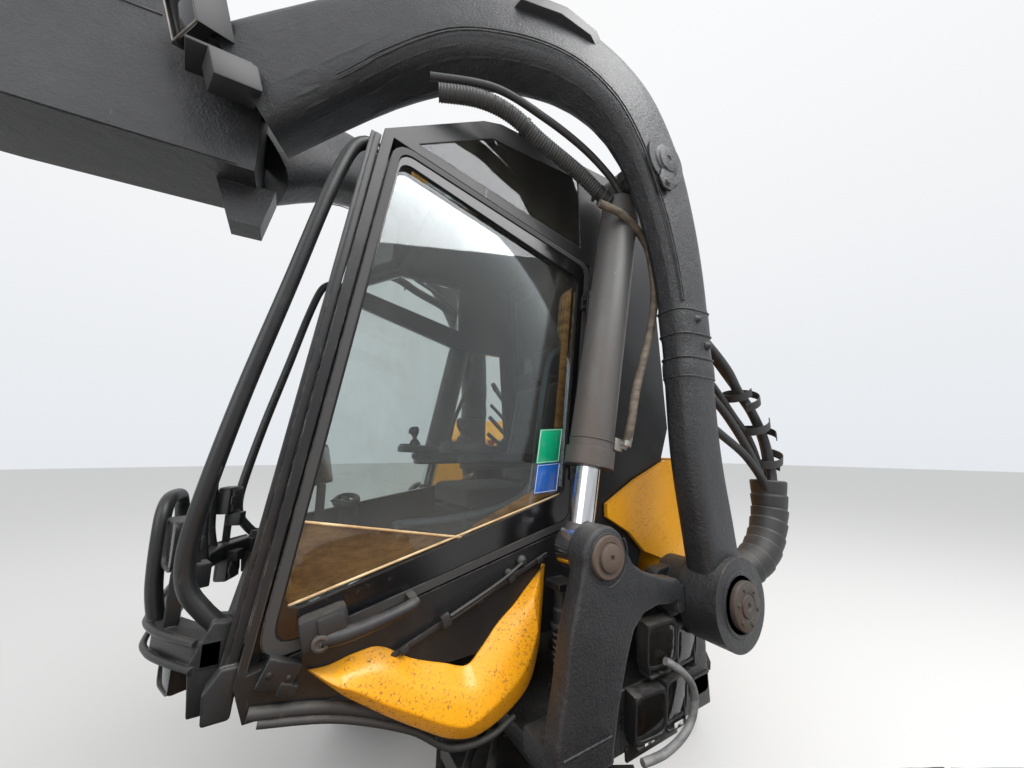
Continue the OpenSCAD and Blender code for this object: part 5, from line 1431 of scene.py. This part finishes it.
def controls():
    """Armrest consoles with keys and joysticks, steering wheel, screen and grab bar."""
    case = Shape()
    stick = Shape()
    keys = Shape()
    knobs = Shape()
    for side in (1, -1):
        case.box(at(470, 350 * side, 2052), (236, 158, 40), facing(0, 3), 14)
        case.box(at(520, 350 * side, 2074), (120, 120, 12), facing(0, 6), 5)
        case.box(at(310, 345 * side, 1982), (380, 84, 26), None, 8)
        case.box(at(120, 276 * side, 1895), (70, 44, 205), facing(0, -6), 12)
        stick.lathe(at(505, 352 * side, 2078), (0.06, 0, 1),
                    [(0, 34), (4, 36), (8, 30), (12, 32), (16, 26), (20, 28), (24, 22),
                     (28, 23), (32, 15), (42, 11), (50, 14), (60, 20), (76, 25), (96, 26),
                     (104, 22), (108, 12)], 28)
        stick.box(at(520, 372 * side, 2160), (30, 34, 36), facing(10, 12), 9)
        for i in range(4):
            for j in range(3):
                keys.box(at(400 + 24 * i, (304 + 24 * j) * side, 2074), (17, 17, 5),
                         facing(0, 3), 1.5)
        knobs.lathe(at(396, 402 * side, 2070), (0, 0, 1),
                    [(0, 11), (8, 11), (9, 17), (18, 17), (21, 12)], 24)
    case.tube([at(905 + 40 * math.cos(a), 158 * math.sin(a), 1832 - 12 * math.cos(a))
               for a in (math.tau * k / 24 for k in range(25))], 12, 12, 14)
    for a in (0.4, 2.5, 4.3):
        case.box(at(905 + 18 * math.cos(a), 78 * math.sin(a), 1832), (24, 120, 10),
                 facing(35 if a < 1 else -35 if a < 3 else 0), 3)
    case.lathe(at(890, 0, 1486), (0, 0, 1), [(0, 62), (30, 56), (60, 40), (310, 34), (336, 44)],
               28)
    tilt = facing(180 - 24, 12)
    case.box(at(1000, -420, 1975), (34, 292, 214), tilt, 10)
    case.box(at(980, -330, 1680), (40, 50, 400), None, 8)
    for i in range(3):
        case.box(at(880 + 40 * i, 150 - 130 * i, 1500), (150, 76, 14), facing(0, -24), 5)
    case.made("consoles", "upper", "black_trim", 40, ("controls",))
    stick.made("joysticks", "upper", "rubber_trim", 50)
    keys.made("console_keys", "upper", "grey_hose", 40)
    knobs.made("console_knobs", "upper", "red_knob", 40)
    screen = Shape()
    screen.box(at(982, -412, 1978), (6, 262, 180), tilt, 1)
    screen.made("screen_glass", "upper", "black_gloss", 40)
    bar = Shape()
    bar.tube(route(((196, 672, 2466), (214, 652, 2462), (262, 648, 2410), (300, 647, 2250),
                    (330, 647, 2060), (366, 647, 1912), (480, 648, 1856), (660, 650, 1832),
                    (830, 652, 1830), (850, 672, 1828))), 11, 14, 12)
    bar.made("door_grab_bar", "door_leaf", "grab_paint", 60)


# Tyres and rims

TYRE_SECTION = [(258, 338), (284, 352), (300, 384), (311, 430), (318, 486), (319, 530),
                (313, 566), (300, 592), (276, 612), (236, 622), (160, 628), (60, 631), (0, 631)]
LUGS = 18
# From a wheel's middle out to its rim's face
HUB_FACE = 64
# How far the frames stand turned under the crane
CARRIAGE = math.radians(60)


def spoke(k, count, radius=1.0):
    """Point k of count round the Z axis."""
    return Vector((radius * math.cos(math.tau * k / count),
                   radius * math.sin(math.tau * k / count), 0))


def wheels():
    """Eight tyres that share one mesh with angled lugs, and the nuts and hubs of their rims."""
    tread = Shape()
    section = [(-a, r) for a, r in TYRE_SECTION[:-1]] + [(a, r) for a, r in reversed(TYRE_SECTION)]
    section = [(a, r + (3 if 440 < r < 520 else 0)) for a, r in section]
    tread.lathe(Vector(), (0, 0, 1), section, 96, True)
    for half in (1, -1):
        for k in range(LUGS):
            lug(tread, math.tau * (k + (0 if half > 0 else 0.5)) / LUGS, half)
    for half in (1, -1):
        for r in (362, 452, 548):
            out = Vector((0, 0, half * (292 if r < 400 else 314 if r < 500 else 318) * MM))
            tread.tube([spoke(k, 96, r * MM) + out for k in range(97)], 4 if r < 400 else 3, 6, 40)
    shared = None
    for node in sorted(frame["nodes"]):
        if not node.startswith("tyre_"):
            continue
        centre = middle(node)
        body = node.replace("tyre", "wheel")
        axle = axle_of(node)
        turn = axle.to_track_quat("Z", "Y").to_matrix().to_4x4()
        if shared is None:
            tyre = tread.made("tread_" + node[5:], body, "tyre_rubber", 32, (node,))
            shared = tyre.data
        else:
            tyre = bpy.data.objects.new("tread_" + node[5:], shared)
            bpy.context.collection.objects.link(tyre)
            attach(tyre, body)
            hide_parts(node)
        tyre.matrix_world = Matrix.Translation(centre) @ turn
        hub = Shape()
        flat = turn.to_3x3()
        for k in range(12):
            hub.bolt(centre + flat @ spoke(k + 0.5, 12, 0.205) + axle * HUB_FACE * MM, axle, 34)
        hub.lathe(centre + axle * (HUB_FACE + 58) * MM, axle,
                  [(0, 118), (10, 116), (14, 108), (30, 104), (36, 92), (38, 40), (44, 36),
                   (46, 10)], 40)
        for k in range(6):
            hub.bolt(centre + flat @ spoke(k, 6, 0.088) + axle * (HUB_FACE + 92) * MM, axle, 22,
                     False)
        hub.made("hub_" + node[5:], body, "frame_paint", 35)


def axle_of(node):
    """The wheel's own axis, which points out of the machine."""
    out = Vector((-math.sin(CARRIAGE), math.cos(CARRIAGE), 0))
    return out if "left" in node else -out


def lug(shape, angle, half):
    """One bar from the tread's middle down over the shoulder, narrower at its top."""
    rows, shoulder = 9, 0.84
    points = []
    for t in range(rows):
        u = t / (rows - 1)
        turn = angle + math.radians(15) * min(1, u * 1.18)
        if u < shoulder:
            out, top, foot = -18 + 322 * min(1, u * 1.18), 665 - 10 * u ** 2, 612
        else:
            down = (u - shoulder) / (1 - shoulder)
            out, top, foot = 306 + down * 9, 655 - down * 50, 570
        wide_top, wide_foot = 30 + 4 * u, 46 + 5 * u
        for r, w in ((foot, -wide_foot), (top - 6, -wide_top - 3), (top, -wide_top + 5),
                     (top, wide_top - 5), (top - 6, wide_top + 3), (foot, wide_foot)):
            q = turn + w / r
            points.append(Vector((r * MM * math.cos(q), r * MM * math.sin(q), out * half * MM)))
    shape.add(points, ring_faces(rows, 6, True))


# Engine body, boom, stick and head


def car(x, y, z):
    """Place on the frames, which stand turned under the crane: x along them, y to their left."""
    place = Matrix.Rotation(CARRIAGE, 3, "Z") @ Vector((x, y, 0))
    return at(place.x, place.y, z)


def engine_body():
    """Panel seams, latches, top louvres, exhaust rings and rear lamps of the hood and nose."""
    turn = Matrix.Rotation(CARRIAGE, 3, "Z")
    seams = Shape()
    for side in (1, -1):
        for x in (-2080, -2822, -3858):
            seams.box(car(x, 860 * side, 1680), (5, 3, 536), turn, 0.5)
        seams.box(car(-2950, 860 * side, 1414), (2290, 3, 5), turn, 0.5)
        seams.box(car(-2450, 860 * side, 1944), (740, 3, 5), turn, 0.5)
        seams.box(car(-2950, 740 * side, 1200), (2200, 3, 5), turn, 0.5)
    seams.made("hood_seams", "rear", "black_trim", 40)
    latches = Shape()
    for side in (1, -1):
        out = turn @ Vector((0, side, 0))
        for x, z in ((-2120, 1500), (-2120, 1850), (-2780, 1500), (-2780, 1850), (-3900, 1500),
                     (-3900, 1850)):
            latches.lathe(car(x, 859 * side, z), out,
                          [(0, 30), (4, 30), (6, 27), (6, 18), (3, 16), (3, 6)], 28)
            latches.box(car(x, 864 * side, z), (34, 5, 9), turn, 1.5)
        for x in (-2300, -2600, -3100, -3400, -3700):
            latches.lathe(car(x - 40, 866 * side, 1958), turn @ Vector((1, 0, 0)),
                          [(0, 9), (2, 11), (78, 11), (80, 9)], 16)
            latches.box(car(x, 862 * side, 1942), (70, 6, 26), turn, 2)
    for i in range(9):
        latches.box(car(-2330 - i * 62, 0, 2371 - (i * 62 + 280) * 0.0343), (14, 470, 22),
                    turn @ Matrix.Rotation(0.5, 3, "Y"), 3)
    for y in (-245, 245):
        latches.box(car(-2580, y, 2360), (560, 16, 16), turn @ Matrix.Rotation(-0.034, 3, "Y"), 3)
    for x in (-2308, -2852):
        latches.box(car(x, 0, 2371 - (-2050 - x) * 0.0343), (16, 500, 16), turn, 3)
    latches.made("hood_fittings", "rear", "black_trim", 35)
    low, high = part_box("exhaust_stack")
    stack = middle("exhaust_stack")
    pipe = Shape()
    pipe.lathe(Vector((stack.x, stack.y, high[2] - 0.22)), (0, 0, 1),
               [(a, (high[0] - low[0]) / MM * 0.5 * k) for a, k in
                ((0, 0.60), (3, 0.66), (12, 0.66), (15, 0.60), (150, 0.60), (153, 0.66),
                 (162, 0.66), (165, 0.60))], 32, True)
    pipe.made("exhaust_bands", "rear", "rusty_pin", 40)
    lights = Shape()
    rims = Shape()
    back = turn @ Vector((-1, 0, 0))
    for y in (-640, -560, 560, 640):
        rims.lathe(car(-4113, y, 1850), back, [(0, 36), (10, 36), (12, 33), (9, 31)], 32)
        lights.lathe(car(-4113, y, 1850), back, [(0, 31), (9, 31), (13, 24), (15, 10)], 32)
    lights.made("rear_lamps", "rear", "red_knob", 40)
    rims.made("rear_lamp_rims", "rear", "black_trim", 40)
    nose = Shape()
    for side in (1, -1):
        for x in (1420, 1650, 1900, 2150, 2400, 2650, 2900, 3150):
            nose.bolt(car(x, 330 * side, 1012), turn @ Vector((0, side, 0)), 22)
        nose.lathe(car(1480, 250 * side, 1180), (0, 0, 1), [(0, 20), (8, 20), (10, 14)], 20)
    nose.made("nose_bolts", "front", "black_trim", 35)
    for way, body in ((1, "front"), (-1, "rear")):
        for i, y in enumerate((-150, -90, 90, 150)):
            start, end = car(way * 560, y, 1030), car(way * 1190, y, 1030)
            lift = 6 * (i % 2)
            piped(f"knuckle_hose_{body}_{i + 1}", "mid",
                  [car(way * 420, y, 1000), start, car(way * 700, y * 1.25, 1052 + lift),
                   car(way * 880, y * 1.4, 1060 + lift), car(way * 1060, y * 1.25, 1050 + lift),
                   end, car(way * 1290, y, 990)], 13 + i % 2 * 3, 12, 16,
                  bend=("mid", body, start, end))


# The stick's hinge, its direction and its tip, [x, z]
ELBOW = (4250, 3330)
STICK_WAY = (0.848048, -0.529919)
STICK_TIP = (6896, 1677)


def stick_at(s, y, n):
    """Place on the stick: s along it from its hinge, y to the left, n at right angles above."""
    return at(ELBOW[0] + s * STICK_WAY[0] - n * STICK_WAY[1], y,
              ELBOW[1] + s * STICK_WAY[1] + n * STICK_WAY[0])


def half_boom(x):
    """Half the boom's width, which tapers towards the stick."""
    return 175 if x < 2200 else 175 - (x - 2200) / 1300 * 55 if x < 3500 else 120


def pipe_z(i, x):
    """Height of pipe i along the boom."""
    return 3262 + i * 40 + (x - 1500) * 0.018 * (1 - i * 0.3)


def crane_details(side):
    """Pipes, clamps, pins and weld beads on one side of the boom and stick."""
    name = HAND[side]
    pipes = Shape()
    for i in range(3):
        pipes.tube([at(x, (half_boom(x) + 17) * side, pipe_z(i, x))
                    for x in (2260, 2400, 2700, 3100, 3450, 3700)], 12, 12, 40)
    pipes.made(name + "_boom_pipes", "boom", "steel", 60)
    holders = Shape()
    for x in (2330, 2750, 3170, 3590):
        y, z = half_boom(x) + 16, 3304 + (x - 1500) * 0.012
        holders.box(at(x, y * side, z), (44, 34, 128), None, 5)
        for dz in (-52, 52):
            holders.bolt(at(x, (y + 17) * side, z + dz), (0, side, 0), 17)
    turn = (stick_at(1, 0, 0) - stick_at(0, 0, 0)).to_track_quat("X", "Z").to_matrix()
    for s in (700, 1150, 1600, 2050, 2500):
        crane_clip(name, s, stick_at(s, 110 * side, 30), turn, side)
    holders.made(name + "_boom_clamps", "boom", "black_trim", 35)
    stick_pipes = Shape()
    for i in range(3):
        stick_pipes.tube([stick_at(s, 109 * side, -6 + i * 36) for s in (600, 1200, 1800, 2560)],
                         11, 12, 60)
    stick_pipes.made(name + "_stick_pipes", "stick", "steel", 60)
    for i in range(3):
        z = 3262 + i * 40
        start = at(3900, 190 * side, z + 30)
        end = stick_at(420, 215 * side, 40)
        piped(f"{name}_elbow_hose_{i + 1}", "boom",
              [at(3690, 137 * side, pipe_z(i, 3700)),
               at(3800, 150 * side, z + 30), at(3950, 205 * side, z + 50 + i * 12),
               at(4120, 236 * side, z + 70 + i * 26), at(4290, 240 * side, z + 44 + i * 30),
               stick_at(260, 238 * side, 40 + i * 40), stick_at(420, 205 * side, 10 + i * 36),
               stick_at(540, 140 * side, -4 + i * 36), stick_at(620, 109 * side, -6 + i * 36)],
              15, 12, 16, bend=("boom", "stick", start, end))
    pins = Shape()
    out = Vector((0, side, 0))
    pins.lathe(at(ELBOW[0], 170 * side, ELBOW[1]), out,
               [(0, 74), (8, 74), (12, 70), (12, 52), (20, 50), (20, 16), (17, 14)], 40)
    for place in circle_at(ELBOW[0], 182 * side, ELBOW[1], 61, 6)[:6]:
        pins.bolt(place, out, 14, False)
    pins.made(name + "_elbow_pin", "stick", "frame_paint", 35)
    welds = Shape()
    bead(welds, [at(x, (half_boom(x) + 0.5) * side, z) for x, z in
                 ((1420, 3158), (2095, 3150), (2700, 3166), (3400, 3186), (4200, 3206))], 4)
    bead(welds, [at(x, (half_boom(x) + 0.5) * side, z) for x, z in
                 ((1700, 3672), (2295, 3612), (2800, 3548), (3300, 3482), (4150, 3458))], 4)
    welds.made(name + "_boom_welds", "boom", "arm_paint", 60)
    tip_x, tip_z = STICK_TIP
    for i in range(2):
        start, end = stick_at(2990, 90 * side, 0), at(tip_x, 90 * side, tip_z - 120)
        piped(f"{name}_tip_hose_{i + 1}", "telescope",
              [stick_at(2790, 84 * side, -20 + i * 44), stick_at(2900, 88 * side, -20 + i * 44),
               stick_at(3010, 122 * side, -30 + i * 34),
               at(tip_x + 10, (150 - i * 14) * side, tip_z - 20 + i * 20),
               at(tip_x + 40, (132 - i * 14) * side, tip_z - 96),
               at(tip_x + 30, 84 * side, tip_z - 140),
               at(tip_x + 10 - i * 26, 44 * side, tip_z - 150)], 12, 12, 12,
              bend=("telescope", "link", start, end))


def crane_clip(name, s, place, turn, side):
    """Clamp that holds the stick's pipes to its side."""
    clip = Shape()
    clip.box(place, (40, 30, 124), turn, 5)
    for n in (-50, 50):
        clip.bolt(place + turn @ Vector((0, 15 * side * MM, n * MM)), (0, side, 0), 16)
    clip.made(f"{name}_stick_clamp_{s}", "stick", "black_trim", 35)


def head_details():
    """Valve block, hoses, bolts, spikes and weld beads of the harvester head."""
    tip = STICK_TIP[0]
    block = Shape()
    block.box(at(tip + 330, 0, 776), (270, 210, 74), None, 6)
    for i in range(5):
        for y in (-62, 0, 62):
            block.lathe(at(tip + 226 + i * 52, y, 812), (0, 0, 1),
                        [(0, 15), (12, 15), (12, 11), (22, 11), (22, 14), (34, 14), (34, 8)], 6)
    block.box(at(tip + 330, 0, 742), (290, 228, 10), None, 2)
    block.made("head_valves", "head", "black_trim", 35)
    for i, y in enumerate((-62, 0, 62)):
        hose(f"head_valve_hose_{i + 1}", "head",
             [(tip + 232, y, 826), (tip + 208, y * 1.1, 832), (tip + 190, y * 1.25, 830),
              (tip + 174, y * 1.4, 824), (tip + 160, y * 1.5, 812)], 9)
    for i, y in enumerate((-150, -186, 150, 186)):
        start, end = at(tip - 90, y, 1090), at(tip - 250, y, 900)
        piped(f"fork_hose_{i + 1}", "fork",
              [at(tip - 60, y * 0.9, 1108), at(tip - 110, y * 1.05, 1112),
               at(tip - 210, y * 1.16, 1080), at(tip - 282, y * 1.14, 990),
               at(tip - 290, y * 1.02, 900), at(tip - 250, y * 0.84, 846),
               at(tip - 200, y * 0.78, 820)], 12, 12, 12, bend=("fork", "head", start, end))
    bolts = Shape()
    for side in (1, -1):
        out = (0, side, 0)
        for x in (tip - 640, tip - 520, tip - 400, tip + 420, tip + 540):
            for z in (722, 800):
                bolts.bolt(at(x, 200 * side, z), out, 20)
        for z in (440, 560, 640):
            for x in (tip - 905, tip - 785):
                bolts.bolt(at(x, 180 * side, z), out, 18)
        bolts.lathe(at(tip, 172 * side, 987), out, [(0, 40), (8, 40), (11, 36), (11, 12)], 32)
        bolts.lathe(at(tip - 40, 275 * side, 655), (0, 0, 1),
                    [(0, 70), (10, 70), (12, 62), (34, 58), (38, 46), (40, 30)], 32)
    bolts.made("head_bolts", "head", "black_trim", 35)
    for side, body in ((1, "roller_left"), (-1, "roller_right")):
        spikes = Shape()
        centre = at(tip - 40, 275 * side, 0)
        for k in range(12):
            out = spoke(k * side, 12)
            for j in range(7):
                spikes.lathe(centre + out * 0.146 + Vector((0, 0, (348 + j * 40) * MM)), out,
                             [(0, 9), (6, 7), (11, 1.5)], 8)
        for z in (318, 636):
            spikes.lathe(centre + Vector((0, 0, z * MM)), (0, 0, 1),
                         [(-2, 108), (2, 108), (4, 100), (4, 40)], 32)
        spikes.made(body + "_spikes", body, "steel", 35)
    welds = Shape()
    for side in (1, -1):
        bead(welds, plane_loop(((tip - 756, 700), (tip - 300, 699), (tip + 300, 699),
                                (tip + 736, 700)), 200.5 * side), 3.5)
        bead(welds, plane_loop([(tip + x, 825) for x in (-640, -200, 200, 540)],
                               200.5 * side), 3.5)
    welds.made("head_welds", "head", "yellow_paint", 60)
    guard = Shape()
    guard.box(at(tip - 845, 0, 770), (150, 330, 8), None, 2)
    for side in (1, -1):
        guard.tube(plane_loop(((tip - 800, 782), (tip - 800, 830), (tip - 860, 850),
                               (tip - 900, 820), (tip - 900, 780)), 60 * side), 10, 10, 10)
    guard.made("saw_box_lid", "head", "black_trim", 35)


base_middle()
seat()
controls()
wheels()
engine_body()
head_details()
door()
door_handle()
wiper()
bumper()
windscreen_clips()
for side in (1, -1):
    yoke(side)
    crane_details(side)
    arm_details(side)
    arm_hoses(side)
    lift_cylinder(side)
    base_side(side)
    damper(side)
    cowl(side)
lamps()


# Floor, light and camera


def plain(name, colour, rough=0.9):
    material = bpy.data.materials.new(name)
    material.use_nodes = True
    shader = material.node_tree.nodes["Principled BSDF"]
    shader.inputs["Base Color"].default_value = (*colour, 1)
    shader.inputs["Roughness"].default_value = rough
    return material


def floor(half=60.0):
    mesh = bpy.data.meshes.new("floor")
    mesh.from_pydata([(-half, -half, 0), (half, -half, 0), (half, half, 0), (-half, half, 0)],
                     [], [(0, 1, 2, 3)])
    piece = bpy.data.objects.new("floor", mesh)
    bpy.context.collection.objects.link(piece)
    mesh.materials.append(plain("floor", (0.62, 0.62, 0.61)))


def area_lamp(name, place, target, size, watts):
    data = bpy.data.lights.new(name, "AREA")
    data.shape = "RECTANGLE"
    data.size = data.size_y = size
    data.energy = watts
    lamp = bpy.data.objects.new(name, data)
    bpy.context.collection.objects.link(lamp)
    lamp.location = place
    lamp.rotation_euler = (Vector(target) - Vector(place)).to_track_quat("-Z", "Y").to_euler()


def sky(zenith=1.15, horizon=0.86, ground=0.60):
    """Overcast sky, brightest overhead."""
    world = bpy.data.worlds.new("sky")
    bpy.context.scene.world = world
    world.use_nodes = True
    tree = world.node_tree
    split = tree.nodes.new("ShaderNodeSeparateXYZ")
    tree.links.new(tree.nodes.new("ShaderNodeTexCoord").outputs["Generated"], split.inputs[0])
    ramp = tree.nodes.new("ShaderNodeValToRGB")
    stops = ramp.color_ramp.elements
    stops[0].position, stops[1].position = 0.0, 1.0
    for stop, light in ((stops[0], ground), (stops[1], zenith), (stops.new(0.5), horizon)):
        stop.color = (light * 0.93, light * 0.96, light, 1)
    half = tree.nodes.new("ShaderNodeMapRange")
    half.inputs["From Min"].default_value = -1
    tree.links.new(split.outputs["Z"], half.inputs["Value"])
    tree.links.new(half.outputs["Result"], ramp.inputs["Fac"])
    tree.links.new(ramp.outputs["Color"], tree.nodes["Background"].inputs["Color"])


def photo_camera():
    data = bpy.data.cameras.new("photo_camera")
    data.sensor_width = SENSOR_WIDTH
    data.lens = FOCAL_PIXELS * SENSOR_WIDTH / PICTURE_WIDTH
    data.clip_start = 0.02
    data.clip_end = 200
    camera = bpy.data.objects.new("photo_camera", data)
    bpy.context.collection.objects.link(camera)
    level = math.cos(CAMERA_PITCH)
    look = Vector((-math.sin(CAMERA_YAW) * level, -math.cos(CAMERA_YAW) * level,
                   math.sin(CAMERA_PITCH)))
    camera.location = CAMERA_PLACE
    camera.rotation_euler = look.to_track_quat("-Z", "Y").to_euler()
    bpy.context.scene.camera = camera


floor()
sky()
area_lamp("key", at(-1500, 5500, 9500), at(500, 0, 2000), 7, 1100)
area_lamp("fill", at(6500, 3500, 5000), at(0, 0, 2000), 6, 260)
photo_camera()
bpy.context.scene.view_settings.view_transform = "Standard"
